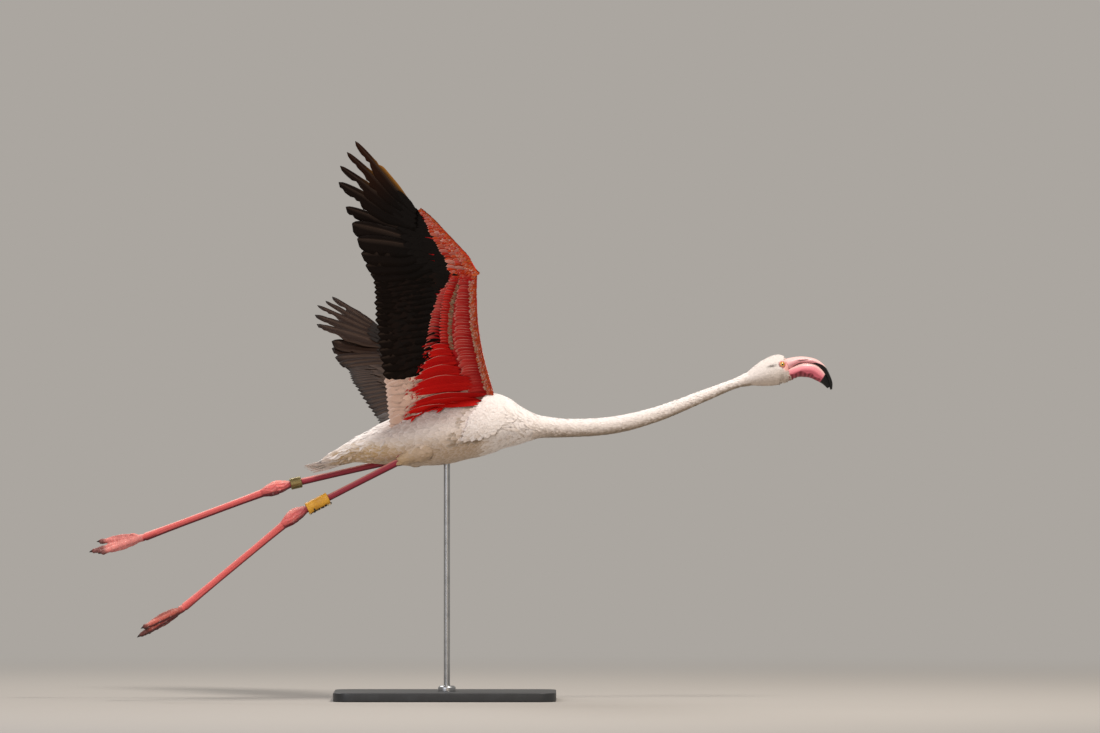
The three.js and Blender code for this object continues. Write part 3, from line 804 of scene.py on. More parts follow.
@dataclass
class Tract:
    """Feathers of one kind over one surface: where they root, how they lie and what colour they are."""

    place: Place
    u: Points
    v: Points
    vane: Vane
    toward: Any  # direction of the lie: 0 along u, a right angle along v
    outward: int = 1
    scale: Any = 1.0
    lift: Any = 1.0
    rng: np.random.Generator = field(default_factory=lambda: np.random.default_rng(1))
    unwrap: Callable[[Points, Points], Points] = lambda u, v: np.stack([u, v], -1)
    outer: int = 0  # the edge that a slat turns up, 1 or -1, or 0 for none

    def shafts(self) -> Shafts:
        """The shafts, each run over the surface from its root and lifted toward its tip."""
        count, step = len(self.u), 2 * NUDGE
        ahead = (self.place(self.u + step, self.v) - self.place(self.u - step, self.v)) / (2 * step)
        aside = (self.place(self.u, self.v + step) - self.place(self.u, self.v - step)) / (2 * step)
        speed_u = np.maximum(np.linalg.norm(ahead, axis=-1), 1.0)
        speed_v = np.maximum(np.linalg.norm(aside, axis=-1), 1.0)
        angle = self.toward + self.rng.normal(0, self.vane.yaw, count)
        size = self.scale * np.clip(1 + self.rng.normal(0, self.vane.spread, count), 0.6, 1.5)
        share = np.linspace(0, 1, self.vane.rows)
        run = (self.vane.length * size)[:, None] * share
        us = self.u[:, None] + (np.cos(angle) / speed_u)[:, None] * run
        vs = self.v[:, None] + (np.sin(angle) / speed_v)[:, None] * run
        middle = self.place(us, vs)
        normal = np.cross(self.place(us + step, vs) - middle, self.place(us, vs + step) - middle)
        normal = unit(normal) * self.outward
        height = -self.vane.sink + (self.vane.sink + self.vane.rise) * share**1.15
        loft = height * (np.ones(count) * self.lift)[:, None] * np.minimum(size, 1.6)[:, None]
        bake = self.unwrap(self.u, self.v)
        return Shafts(middle + normal * loft[..., None], normal, size, bake, self.outer)

    def lay(self, bundle: Bundle, root: Points, tip: Points, edge: Points | None = None, start: float = 0.35) -> None:
        """Adds the feathers to a bundle.

        Args:
            bundle: What they are gathered in.
            root: Colour at each feather's root.
            tip: Colour at its tip.
            edge: Colour of its rim, or None for none.
            start: Share of the length where the tip's colour begins.
        """
        lay_vanes(bundle, self.vane, self.shafts(), Tints(root, tip, edge, start), self.rng)


def bricks(
    place: Place, rows: Sequence[float], start: float, end: float, pitch: Any, rng: np.random.Generator, along_u: bool
) -> tuple[Points, Points]:
    """Roots in rows, each row set half a pitch from the last, as tiles are.

    Args:
        place: The surface.
        rows: The rows' own coordinate: v if along_u, and else u.
        start: Where each row starts in the other coordinate.
        end: Where it ends.
        pitch: Distance between roots in a row, in millimetres, or a function of the row.
        rng: The random draws.
        along_u: True if the rows run along u.

    Returns:
        The roots' u and v.
    """
    us, vs = [], []
    line = np.linspace(start, end, 60)
    between = abs(rows[1] - rows[0]) if len(rows) > 1 else 0
    for index, row in enumerate(rows):
        fixed = np.full_like(line, row)
        path = place(line, fixed) if along_u else place(fixed, line)
        steps = np.concatenate([[0], np.cumsum(np.linalg.norm(np.diff(path, axis=0), axis=1))])
        gap = pitch(row) if callable(pitch) else pitch
        count = max(3, int(steps[-1] / gap))
        marks = (np.arange(count) + 0.25 + 0.5 * (index % 2) + rng.uniform(-0.22, 0.22, count)) / count
        spots = np.interp(marks * steps[-1], steps, line)
        shift = row + rng.uniform(-0.2, 0.2, count) * between
        us.append(spots if along_u else shift)
        vs.append(shift if along_u else spots)
    return np.concatenate(us), np.concatenate(vs)


def steps_along(place: Place, start: float, end: float, other: float, pitch: Callable[[float], float]) -> list[float]:
    """Shares of u that lie about a pitch apart on the surface.

    Args:
        place: The surface.
        start: The first share.
        end: Where they stop.
        other: The v at which the distance is measured.
        pitch: The distance at each share, in millimetres.

    Returns:
        The shares.
    """
    found, at, step = [], start, 2 * NUDGE
    while at < end:
        found.append(at)
        here = place(np.array([at]), np.array([other]))
        near = place(np.array([at + step]), np.array([other]))
        at += pitch(at) / max(float(np.linalg.norm(near - here)) / step, 1.0)
    return found


@dataclass
class Quill:
    """One flight feather: a shaft, a narrow leading vane and a broad trailing one, each thin and closed."""

    middle: Points  # the shaft's line
    lead: Points  # unit vectors across, toward the leading edge
    normal: Points
    lead_width: float
    trail_width: float
    notch: float = 1.0  # width beyond the notch as a share of the full width
    notch_at: tuple[float, float] = (0.55, 0.72)
    root_width: float = 0.4
    blunt: float = 4.0
    thick: float = 0.55
    shaft: float = 2.0  # radius at the root
    shaft_tip: float = 0.25  # radius at the tip
    splits: int = 3
    COLUMNS = (-1.0, -0.66, -0.3, 0.0, 0.35, 1.0)  # where its points lie across, trailing to leading
    THICKNESS = (0.35, 0.8, 1.0, 1.0, 1.0, 0.35)  # at each of them, as a share of the thickest
    MARGIN = 0.02  # of the bake map, kept free at each end

    @property
    def length(self) -> float:
        """The shaft's length."""
        return float(np.sum(np.linalg.norm(np.diff(self.middle, axis=0), axis=1)))

    def width_shares(self, share: Points) -> Points:
        """The width along the feather as a share of its full width."""
        opening = mix(self.root_width, 1.0, ease(share, 0.0, 0.35))
        narrow = mix(1.0, self.notch, ease(share, *self.notch_at))
        return opening * narrow * np.maximum(1 - share**self.blunt, 0.004) ** 0.5

    def build(self, bundle: Bundle, paint: Paint, strip: tuple[float, float], rng: np.random.Generator) -> None:
        """Adds the feather to a bundle.

        Args:
            bundle: What it is gathered in.
            paint: Colour from the share of the length and the place across, -1 trailing to 1 leading.
            strip: From where to where it lies across the bake map.
            rng: The random draws.
        """
        rows, columns = len(self.middle), len(self.COLUMNS)
        share = np.linspace(0, 1, rows)[:, None]
        across = np.array(self.COLUMNS)[None, :]
        widest = np.where(across < 0, self.trail_width, self.lead_width)
        reach = widest * across * self.width_shares(share)
        for _ in range(self.splits):
            at = rng.integers(int(rows * 0.45), rows - 2)
            edge = 0 if rng.random() < 0.75 else columns - 1
            reach[at, edge] *= rng.uniform(0.72, 0.9)
        dip = 0.05 * reach**2 / max(self.trail_width, 1.0)
        waves = 0.25 * np.sin(share * 23 + rng.uniform(0, 6)) * (np.abs(across) > 0.9)
        sheet = self.middle[:, None] + self.lead[:, None] * reach[..., None]
        sheet = sheet + self.normal[:, None] * (waves - dip)[..., None]
        half = self.thick / 2 * np.array(self.THICKNESS)[None, :, None] * self.normal[:, None]
        share, across = np.broadcast_arrays(share, across)
        colours = [paint(share, across, upper).reshape(-1, 3) for upper in (True, False)]
        lie = np.stack([reach, share * self.length], -1)
        bake = np.stack([mix(*strip, (across + 1) / 2), mix(self.MARGIN, 1 - self.MARGIN, share)], -1)
        bundle.add(
            np.stack([sheet + half, sheet - half]),
            self._closed_faces(rows, columns),
            np.concatenate(colours),
            np.stack([bake, bake]),
            np.stack([lie, lie]),
        )
        self._build_shaft(bundle, paint, share[:, 0], strip)

    @staticmethod
    def _closed_faces(rows: int, columns: int) -> Points:
        """Faces of an upper and an under grid of points and of the thin wall between their rims."""
        count = rows * columns
        tip = (rows - 1) * columns
        leading = np.arange(1, rows) * columns + columns - 1
        trailing = np.arange(rows - 2, 0, -1) * columns
        rim = np.concatenate([np.arange(columns), leading, tip + np.arange(columns - 2, -1, -1), trailing])
        after = np.roll(rim, -1)
        top = grid_faces(rows, columns)
        return np.concatenate([top[:, ::-1], top + count, np.stack([rim, after, after + count, rim + count], -1)])

    def _build_shaft(self, bundle: Bundle, paint: Paint, share: Points, strip: tuple[float, float]) -> None:
        """Adds the raised shaft, thick at the root and a hair at the tip.

        Args:
            bundle: What it is gathered in.
            paint: The feather's paint.
            share: Shares of the length, one for each row.
            strip: From where to where the feather lies across the bake map.
        """
        turn, share = np.broadcast_arrays(turns(6)[None], share[:, None])
        radius = mix(self.shaft, self.shaft_tip, share**0.8)[..., None]
        points = self.middle[:, None] + ring_of(self.lead[:, None], self.normal[:, None] * 0.9, turn) * radius
        bake = np.stack([mix(*strip, 0.5) + 0 * share, mix(self.MARGIN, 1 - self.MARGIN, share)], -1)
        bundle.add(points, grid_faces(*share.shape, closed=True), paint(share, 0 * share, True), bake)


# ---------- markings ----------


class Markings:
    """Where the colours lie on the bird. The skin and its feathers both read them here."""

    WHITE = linear("#F1E9E5")
    CREAM = linear("#E3D7CE")
    SAND = linear("#AE9375")
    OCHRE = linear("#C09E66")
    FAWN = linear("#A98F70")
    TAUPE = linear("#A8948A")
    BLUSH = linear("#F1D3C7")
    BISQUE = linear("#D6B19C")
    CRIMSON = linear("#BC0508")
    SCARLET = linear("#D4160D")
    ORANGE = linear("#D2501E")
    RUST = linear("#B32A12")
    AMBER = linear("#B4622F")
    GOLD = linear("#C98A3A")
    PINK = linear("#E3A091")
    PALE_PINK = linear("#EBC6B4")
    BLACK = linear("#100B08")
    SLATE = linear("#1A1310")
    UMBER = linear("#2A1408")
    DUSK = mix(SLATE, UMBER, 0.6) * 0.8
    ASH = linear("#7A6456")
    LORE = linear("#E3A39A")
    LEG = linear("#DE625E")
    LEG_DEEP = linear("#952637")
    LEG_PALE = linear("#EE958F")
    LEG_LIT = linear("#F4B0A2")
    FOOT = linear("#B8604F")

    def body(self, share: Points, angle: Points) -> Points:
        """Trunk and neck: white above; cream, sand, taupe, ochre and fawn below, partly the plumage's own tint and
        partly painted shade and painted reflected light.

        Args:
            share: Share of the spine.
            angle: Angle from the top.

        Returns:
            The colours.
        """
        low = -np.cos(angle)
        colour = tint(self.WHITE, self.CREAM, ease(low, -0.75, 0.1))
        rear = 1 - ease(share, 0.36, 0.5)
        # Sand on the belly: partly its own warm tint, partly painted shade under the bird.
        belly_tint_and_shade = ease(low, 0.05, 0.85) * (0.4 + 0.55 * rear) * mix(0.25, 1.0, ease(share, 0.02, 0.08))
        # Taupe on the flank is painted shadow of the raised wing.
        flank = hill(low, -0.28, 0.5) * ease(share, 0.12, 0.2) * ease(share, 0.44, 0.36)
        # Ochre under the tail: partly the under-tail coverts' own colour, partly painted reflected light.
        under_tail_tint_and_reflection = ease(low, -0.1, 0.6) * ease(share, 0.02, 0.07) * ease(share, 0.26, 0.1)
        # The dark fawn line along the underside of the neck is painted shade.
        throat_shade = ease(low, 0.45, 0.95) * ease(share, 0.56, 0.64)
        colour = tint(colour, self.SAND, belly_tint_and_shade)
        colour = tint(colour, self.TAUPE, 0.85 * flank)
        colour = tint(colour, self.OCHRE, 0.85 * under_tail_tint_and_reflection)
        return tint(colour, self.FAWN * 0.6, 0.85 * throat_shade)

    def head(self, share: Points, angle: Points) -> Points:
        """Head: cream above, fawn below as painted shade, blushing toward the bill.

        Args:
            share: Share of the head's length.
            angle: Angle from the top.

        Returns:
            The colours.
        """
        low = -np.cos(angle)
        # A light fawn all over; the further fawn toward the underside is painted shade.
        colour = tint(self.WHITE, self.FAWN, 0.16 + 0.45 * ease(low, -0.4, 0.9))
        lores = ease(share, 0.7, 0.9) * ease(low, -0.9, -0.4) * ease(low, 0.3, -0.1)
        return tint(colour, self.LORE, 0.6 * lores)

    def black_from(self, span: Points) -> Points:
        """Share of the arm's chord where the under wing turns from red to black."""
        return 0.3 + 0.45 * (1 - np.clip(span, 0, 1)) ** 1.3 - 0.085 * ease(span, 0.75, 1.0)

    def ulna(self, span: Points) -> Points:
        """Share of the arm's chord where the ulna shows between two rows of coverts."""
        return mix(0.29, 0.19, ease(span, 0.35, 1.0)) - 0.05 * ease(span, 0.75, 1.0)

    def hand_black_from(self, reach: Points) -> Points:
        """Share of the hand's chord where its coverts turn black."""
        return mix(0.62, 0.56, ease(reach, 0.0, 0.08)) * ease(reach, 0.46, 0.35)

    def upper_wing(self, span: Points, chord: Points) -> Points:
        """The arm's upper coverts: crimson in front, rose behind, nearly white close to the body.

        Args:
            span: Share of the arm from shoulder to wrist.
            chord: Share of the chord from front to rear.

        Returns:
            The colours.
        """
        colour = tint(self.CRIMSON, self.PINK, ease(chord, 0.08, 0.3))
        colour = tint(colour, self.PALE_PINK, 0.7 * ease(chord, 0.25, 0.5))
        return tint(colour, self.WHITE, 0.8 * ease(span, 0.22, 0.0))

    def leg(self, along: Points, knob: Points) -> Points:
        """Leg skin: deep above the joint, rose below, brown toes.

        Args:
            along: Place from knee (-1) past ankle (0) and foot (1) to the toes' ends (2).
            knob: 1 on the ankle's swelling, 0 away from it.

        Returns:
            The colours.
        """
        colour = tint(self.LEG_DEEP, self.LEG, ease(along, -0.12, 0.04))
        colour = tint(colour, self.LEG_PALE, 0.3 * knob)
        return tint(colour, self.FOOT, 0.85 * ease(along, 0.96, 1.15))


MARKS = Markings()


# ---------- skin ----------


def bar(start: Points, end: Points, thick: float, thin: float) -> tuple[Points, Points]:
    """A round-ended bar between two points.

    Args:
        start: The middle of its first end.
        end: The middle of its other end.
        thick: Radius at the first end.
        thin: Radius at the other.

    Returns:
        Its points and its faces.
    """
    rows, sides = 14, 16
    axis = unit(end - start)
    aside = unit(np.cross(axis, UP))
    polar, turn = np.meshgrid(np.linspace(-1, 1, rows) * QUARTER, turns(sides), indexing="ij")
    late = (polar > 0)[..., None]
    reach = ring_of(ring_of(aside, np.cross(aside, axis), turn), axis, polar)
    points = np.where(late, end, start) + np.where(late, thin, thick) * reach
    return points.reshape(-1, 3), grid_faces(rows, sides, closed=True)


def remeshed(nodes: Sequence[str], voxel: float, smooth: int, bars: Sequence[tuple] = ()) -> tuple[Points, Points]:
    """The solids of these nodes melted into one closed surface.

    Args:
        nodes: The nodes.
        voxel: Size of the cells, in millimetres.
        smooth: How many times it is smoothed.
        bars: Bars of flesh that bridge the gaps between nodes, in millimetres.

    Returns:
        Points in millimetres, and faces of four corners.
    """
    points, faces, count = [], [], 0
    for name in nodes:
        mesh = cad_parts[name].data
        points.append(corner_points(mesh))
        faces.extend([[v + count for v in polygon.vertices] for polygon in mesh.polygons])
        count += len(mesh.vertices)
    for corners, quads in bars:
        points.append(corners * MM)
        faces.extend((quads + count).tolist())
        count += len(corners)
    mesh = bpy.data.meshes.new("melt")
    mesh.from_pydata(np.concatenate(points).tolist(), [], faces)
    melt = bpy.data.objects.new("melt", mesh)
    bpy.context.scene.collection.objects.link(melt)
    melt.modifiers.new("weld", "WELD").merge_threshold = 0.01 * MM
    remesh = melt.modifiers.new("remesh", "REMESH")
    remesh.mode = "VOXEL"
    remesh.voxel_size = voxel * MM
    even = melt.modifiers.new("smooth", "SMOOTH")
    even.iterations = smooth
    even.factor = 0.5
    made = melt.evaluated_get(bpy.context.evaluated_depsgraph_get()).to_mesh()
    corners = [list(p.vertices) if len(p.vertices) == 4 else [*p.vertices, p.vertices[-1]] for p in made.polygons]
    result = corner_points(made) / MM, np.array(corners)
    bpy.data.objects.remove(melt)
    return result


def corner_points(mesh: bpy.types.Mesh) -> Points:
    """A mesh's points in metres."""
    co = np.zeros(len(mesh.vertices) * 3)
    mesh.vertices.foreach_get("co", co)
    return co.reshape(-1, 3)


def point_normals(points: Points, faces: Points) -> Points:
    """The average normal at each point of a surface of four-cornered faces."""
    a, b, c, d = (points[faces[:, k]] for k in range(4))
    across = np.cross(c - a, d - b)
    total = np.zeros_like(points)
    for k in range(4):
        np.add.at(total, faces[:, k], across)
    return unit(total)


def nearest_on(loft: Loft, own: Points, rows: int, sides: int) -> tuple[Points, Points, Points]:
    """The nearest place on a form for each point of the bird's own frame.

    Args:
        loft: The form.
        own: The points.
        rows: How many sections of the form are tried.
        sides: How many places round each section are tried.

    Returns:
        Share, angle and distance of the nearest place.
    """
    angles = np.linspace(-math.pi, math.pi, sides, endpoint=False)
    share, turn = (g.ravel() for g in np.meshgrid(np.linspace(0, 1, rows), angles, indexing="ij"))
    tried = loft.own(share, turn)
    index, gap = np.zeros(len(own), int), np.zeros(len(own))
    batch = 4000
    for start in range(0, len(own), batch):
        part = slice(start, start + batch)
        away = np.sum((own[part][:, None] - tried[None]) ** 2, -1)
        index[part] = np.argmin(away, 1)
        gap[part] = np.sqrt(np.min(away, 1))
    return share[index], turn[index], gap


def along_spine(own: Points) -> tuple[Points, Points, Points]:
    """Share, angle and distance of the nearest place on trunk and neck."""
    return nearest_on(SPINE, own, 90, 30)


def on_flank(x: Points, z: Points) -> tuple[Points, Points]:
    """Share and angle of places on the trunk's side, from how far they lie ahead of and above the shoulders."""
    shares, angles = np.linspace(0, 0.6, 240), np.linspace(2.8, 0.2, 130)
    share = np.interp(x, SPINE.middles.at(shares)[:, 0], shares)
    heights = SPINE.own(share[:, None], -angles[None])[..., 2]
    return share, np.array([np.interp(level, row, angles) for level, row in zip(z, heights)])


def swell(share: Points, angle: Points, over: float = 0.0) -> Points:
    """How far the loose side feathers stand out over the front of the flank; they end in a crisp edge behind.

    Args:
        share: Share of the spine.
        angle: Angle from the top.
        over: How much farther back and down the edge lies.

    Returns:
        Heights in millimetres.
    """
    most = 11.0
    own = SPINE.own(share, -np.abs(angle))
    x, z = own[..., 0], own[..., 2]
    rear = np.interp(z, (-31, 13, 41, 65), (-42, -24, 0, 24)) - over
    below = np.interp(x, (-42, 6, 39, 70), (-34, -29, -9, 10)) - over
    return most * ease(x - rear, -1, 3) * ease(x, 66, 5) * ease(z - below, -1, 4) * ease(z, 70, 56)


def over_swell(share: Points, angle: Points) -> Points:
    """The surface that the loose side feathers lie on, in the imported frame."""
    share, angle = np.broadcast_arrays(np.asarray(share, float), np.asarray(angle, float))
    return FLIGHT.body(SPINE.own(share, angle, swell(share, angle, 7.0)[..., None]))


def spot(*numbers: float) -> Points:
    """A place or a direction from its numbers."""
    return np.array(numbers, float)


@dataclass
class LegPlaces:
    """Where points lie on a leg."""

    bone: Points  # the straight length that each is nearest: 0 shin, 1 tarsus, 2 to 4 front toes, 5 hind toe
    along: Points  # how far along it
    around: Points  # how far round it
    gap: Points  # distance from its middle
    knob: Points  # 1 at the ankle, less the farther from it

    @property
    def reach(self) -> Points:
        """Place from knee (-1) past ankle (0) and foot (1) to the toes' ends (2)."""
        shin, tarsus, toe = 257, 330, 95
        past_foot = 1 + self.along / toe
        return np.where(self.bone == 0, self.along / shin - 1, np.where(self.bone == 1, self.along / tarsus, past_foot))


@dataclass
class LegLine:
    """The line of one leg from hip to toes, with coordinates along and around it."""

    hip: Points
    knee: Points
    ankle: Points
    foot: Points
    toes: tuple[Points, Points, Points]
    hind: Points
    swelling: float = 26.0  # radius over which the ankle's swelling fades

    def bones(self) -> list[tuple[Points, Points]]:
        """Start and end of each straight length below the knee."""
        lines = [(self.knee, self.ankle), (self.ankle, self.foot)]
        return lines + [(self.foot, toe) for toe in (*self.toes, self.hind)]

    def measure(self, points: Points) -> LegPlaces:
        """Finds the nearest straight length for each point.

        Args:
            points: Points of the bird's own frame.

        Returns:
            Their places on the leg.
        """
        knob = hill(np.linalg.norm(points - self.ankle, axis=1), 0, self.swelling)
        best = np.full(len(points), 1e9)
        bone, along, around = np.zeros(len(points), int), np.zeros(len(points)), np.zeros(len(points))
        for index, (start, end) in enumerate(self.bones()):
            length = np.linalg.norm(end - start)
            axis = (end - start) / length
            run = np.clip((points - start) @ axis, 0, length)
            offset = points - start - run[:, None] * axis
            gap = np.linalg.norm(offset, axis=1)
            front = unit(np.cross(axis, [0.0, 1.0, 0.0]))
            turn = np.arctan2(offset @ np.cross(axis, front), offset @ front)
            closer = gap < best
            best = np.where(closer, gap, best)
            bone = np.where(closer, index, bone)
            along = np.where(closer, run, along)
            around = np.where(closer, turn * np.maximum(gap, 3), around)
        return LegPlaces(bone, along, around, best, knob)


LEG_LINES = {
    Side.RIGHT: LegLine(
        hip=spot(-105, -44, -42),
        knee=spot(-190, -46, -87),
        ankle=spot(-419, -48, -204),
        foot=spot(-674, -66, -414),
        toes=(spot(-760, -82, -455), spot(-768, -70, -474), spot(-750, -56, -467)),
        hind=spot(-698, -60, -404),
    ),
    Side.LEFT: LegLine(
        hip=spot(-110, 44, -62),
        knee=spot(-196, 44, -84),
        ankle=spot(-455, 42, -143),
        foot=spot(-756, 108, -257),
        toes=(spot(-851, 138, -266), spot(-868, 128, -288), spot(-848, 114, -291)),
        hind=spot(-784, 112, -248),
    ),
}


@dataclass(frozen=True)
class EyePlace:
    """Where each eyeball sits from the shoulders, and its size."""

    x: float = 679.5
    z: float = 133.7
    out: float = 15.2
    radius: float = 8.0

    def centre(self, side: Side) -> Points:
        """The eyeball's middle in the bird's own frame."""
        return spot(self.x, side.sign * self.out, self.z)

    def gap(self, own: Points) -> Points:
        """How far points lie from the eye's middle in the side view."""
        return np.hypot(own[:, 0] - self.x, own[:, 2] - self.z)


EYE = EyePlace()
TRUNK_NODES = ["trunk", "head", "neck_1", "neck_2", "neck_3", "neck_4"]


def on_both(*parts: str) -> list[str]:
    """The names of the nodes of these parts, right and left."""
    return [f"{part}_{side.value}" for part in parts for side in Side]


@dataclass
class Skin:
    """One skin over trunk, neck, head, wings and legs; it shows on the legs and round the bill and eyes."""

    coat: float = 3.2  # depth of the feathers over the trunk
    neck_coat: float = 2.0
    head_coat: float = 1.0
    wing_coat: float = 1.6
    body_voxel: float = 3.0
    leg_voxel: float = 1.15
    scute: tuple[float, float] = (7.0, 5.0)  # length and width of one scale of the leg
    groove: float = 0.3  # depth between scales
    head_from: float = 606.0  # where the neck ends, ahead of the shoulders

    def build(self) -> None:
        """Builds the skin as one piece."""
        bundle = Bundle("skin")
        self._add_body(bundle)
        for side in Side:
            self._add_leg(bundle, side)
        finish = BareSkin("painted_resin_leg_skin", grain=3.2, relief=0.02).make()
        limbs = on_both("thigh", "shin", "ankle", "tarsus", "foot", "upper_arm", "forearm", "hand")
        settle(bundle.build(finish, ("OFBake",)), "leg_skin", *TRUNK_NODES, *limbs)

    def _add_body(self, bundle: Bundle) -> None:
        """The feathered part, sunk by the depth of its coat and painted with the markings.

        Args:
            bundle: What it is gathered in.
        """
        nodes = TRUNK_NODES + on_both("upper_arm", "forearm", "hand") + on_both("thigh")
        points, faces = remeshed(nodes, self.body_voxel, 6)
        normals = point_normals(points, faces)
        own = FLIGHT.own(points)
        share, turn, gap = along_spine(own)
        on_head = own[:, 0] > self.head_from
        on_wing = (gap > 9) & (own[:, 0] < 130) & (own[:, 2] >= -40)
        colour = MARKS.body(share, turn)
        colour[on_head] = self._head_colours(own[on_head])
        for line in LEG_LINES.values():
            colour = tint(colour, MARKS.LEG_DEEP, ease(np.linalg.norm(own - line.knee, axis=1), 26.0, 16.0))
        back = ease(normals[:, 2], -0.05, 0.15) * ease(np.abs(own[:, 1]), 240, 150)
        colour = np.where(on_wing[:, None], tint(MARKS.CRIMSON, MARKS.WHITE, back), colour)
        depth = mix(self.coat, self.neck_coat, ease(share, 0.5, 0.62))
        depth = np.where(on_head, self.head_coat, depth)
        nape = np.interp(own[:, 0], (470, 540, 590, 606, 630, 668), (0, 5, 5, 7.4, 7.4, 0))
        depth = np.where(on_wing, self.wing_coat, depth + nape * ease(normals[:, 2], -0.1, 0.8))
        bake = np.stack([share, turn / TURN + 0.5], -1)
        bundle.add(points - normals * depth[:, None], faces, colour, 0.02 + 0.6 * bake)

    def _head_colours(self, own: Points) -> Points:
        """The head's markings, with bare skin between bill and eye and in a ring round the eye.

        Args:
            own: Points of the bird's own frame.

        Returns:
            The colours.
        """
        share, turn, _ = nearest_on(HEAD, own, 60, 40)
        lores = ease(own[:, 0], 685, 691) * ease(own[:, 2], 116, 122)
        bridge = ease(own[:, 0], 678, 686) * ease(np.abs(own[:, 2] - (EYE.z - 3)), 9, 5)
        bare = np.clip(lores + ease(EYE.gap(own), 7.2, 5.8) + bridge, 0, 1)
        return tint(MARKS.head(share, turn), MARKS.LORE, bare)

    def _fillings(self, line: LegLine) -> list[tuple]:
        """Flesh where thigh and shin and tarsus and foot meet, along the toes, and the web folded between them.

        Args:
            line: The leg.

        Returns:
            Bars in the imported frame, each as points and faces.
        """
        knee, ankle, foot = line.knee, line.ankle, line.foot
        outer, middle, inner = line.toes
        bars = [bar(mix(ankle, foot, 0.9), foot + 8 * unit(foot - ankle), 7.4, 8.2)]
        bars += [bar(knee + 20 * unit(line.hip - knee), mix(knee, ankle, 0.06), 7.2, 7.4)]
        bars += [bar(foot, mix(foot, toe, 0.96), 8.4, 6.0) for toe in line.toes]
        bars += [bar(mix(foot, outer, s), mix(foot, middle, s), 3.6, 3.6) for s in (0.12, 0.22, 0.32)]
        bars += [bar(mix(foot, middle, s), mix(foot, inner, s), 5.0, 5.0) for s in np.linspace(0.15, 0.96, 8)]
        return [(FLIGHT.body(points), faces) for points, faces in bars]

    def _add_leg(self, bundle: Bundle, side: Side) -> None:
        """The bare part of a leg, its scales cut into the surface.

        Args:
            bundle: What it is gathered in.
            side: Which leg.
        """
        line = LEG_LINES[side]
        nodes = [f"{part}_{side.value}" for part in ("shin", "ankle", "tarsus", "foot")]
        points, faces = remeshed(nodes, self.leg_voxel, 5, self._fillings(line))
        normals = point_normals(points, faces)
        own = FLIGHT.own(points)
        at = line.measure(own)
        cut = self._cuts(at)
        if side is Side.RIGHT:
            points = self._tucked(points, at, line)
        sunk = points + normals * self._relief(own, at, cut)[:, None]
        reach = 0.65 + 0.3 * np.clip((at.reach + 1) / 3, 0, 1)
        bake = np.stack([reach, 0.25 + 0.2 * side.sign + 0.01 * at.around], -1)
        bundle.add(sunk, faces, self._leg_colours(own, normals, at, cut, side), np.clip(bake, 0, 1))

    @staticmethod
    def _tucked(points: Points, at: LegPlaces, line: LegLine) -> Points:
        """The points, with those of the hind toe drawn in toward the foot, where it is folded away.

        Args:
            points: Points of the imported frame.
            at: Their places on the leg.
            line: The leg.

        Returns:
            The points.
        """
        hind = (at.bone == 5) & (at.along > 7)
        drawn = mix(FLIGHT.body(line.foot), points, 1 - 0.62 * ease(at.along, 7, 13)[:, None])
        return np.where(hind[:, None], drawn, points)

    def _cuts(self, at: LegPlaces) -> Points:
        """1 in the grooves between the leg's scales and 0 on them; they are smaller on the toes.

        Args:
            at: The points' places on the leg.

        Returns:
            The depth of the groove as a share.
        """
        length, width = (size * np.where(at.bone > 1, 0.7, 1.0) for size in self.scute)
        row = at.along / length
        column = at.around / width + 0.5 * (np.floor(row) % 2)
        return ease(np.maximum(np.abs(row % 1 - 0.5), np.abs(column % 1 - 0.5)) * 2, 0.7, 0.98)

    def _relief(self, own: Points, at: LegPlaces, cut: Points) -> Points:
        """How far the skin of the leg stands out: creases and lumps at the joints, tendons, and scales.

        Args:
            own: Points of the bird's own frame.
            at: Their places on the leg.
            cut: The grooves between scales.

        Returns:
            Heights in millimetres.
        """
        toe = at.bone > 1
        crease = 0.9 * at.knob * np.sin(at.around * 0.75 + 1.6 * np.sin(at.along * 0.16))
        lump = 1.1 * at.knob * ripple(own, 32.0) + 0.6 * toe * ripple(own, 9.0)
        tendon = np.where(at.bone == 1, 0.55 * np.cos(3 * at.around / np.maximum(at.gap, 3)), 0)
        joint = np.where(toe, 0.5 * np.cos(at.along * TURN / 24.0), 0)
        groove = self.groove * np.where(toe, 1.0, 0.25) * (1 - 0.5 * at.knob) * cut
        return np.clip(crease + lump + tendon + joint - groove, -2.4, 2.0) - 0.15

    @staticmethod
    def _leg_colours(own: Points, normals: Points, at: LegPlaces, cut: Points, side: Side) -> Points:
        """The leg's markings: streaks along it, painted light on top, painted shade below and between the toes, dry
        crust and dark claws' ends.

        Args:
            own: Points of the bird's own frame.
            normals: Their normals.
            at: Their places on the leg.
            cut: The grooves between scales.
            side: Which leg.

        Returns:
            The colours.
        """
        toe, tarsus = at.bone > 1, at.bone == 1
        up, down = normals[:, 2], -normals[:, 2]
        lengthwise = np.stack([at.along * 0.06, at.around, 0 * at.along], -1)
        streak = ease(ripple(lengthwise, 7.0), 0.1, 0.8) * ~toe
        light = ease(ripple(lengthwise + 31.0, 6.0), 0.2, 0.9) * tarsus
        speckle = ease(ripple(own, 6.5), 0.2, 0.7) * np.where(toe, 0.8, 0.15 * at.knob)
        crusted = ease(ripple(own + 17.0, 14.0), 0.35, 0.8) * np.maximum(0.7 * at.knob, 0.6 * toe)
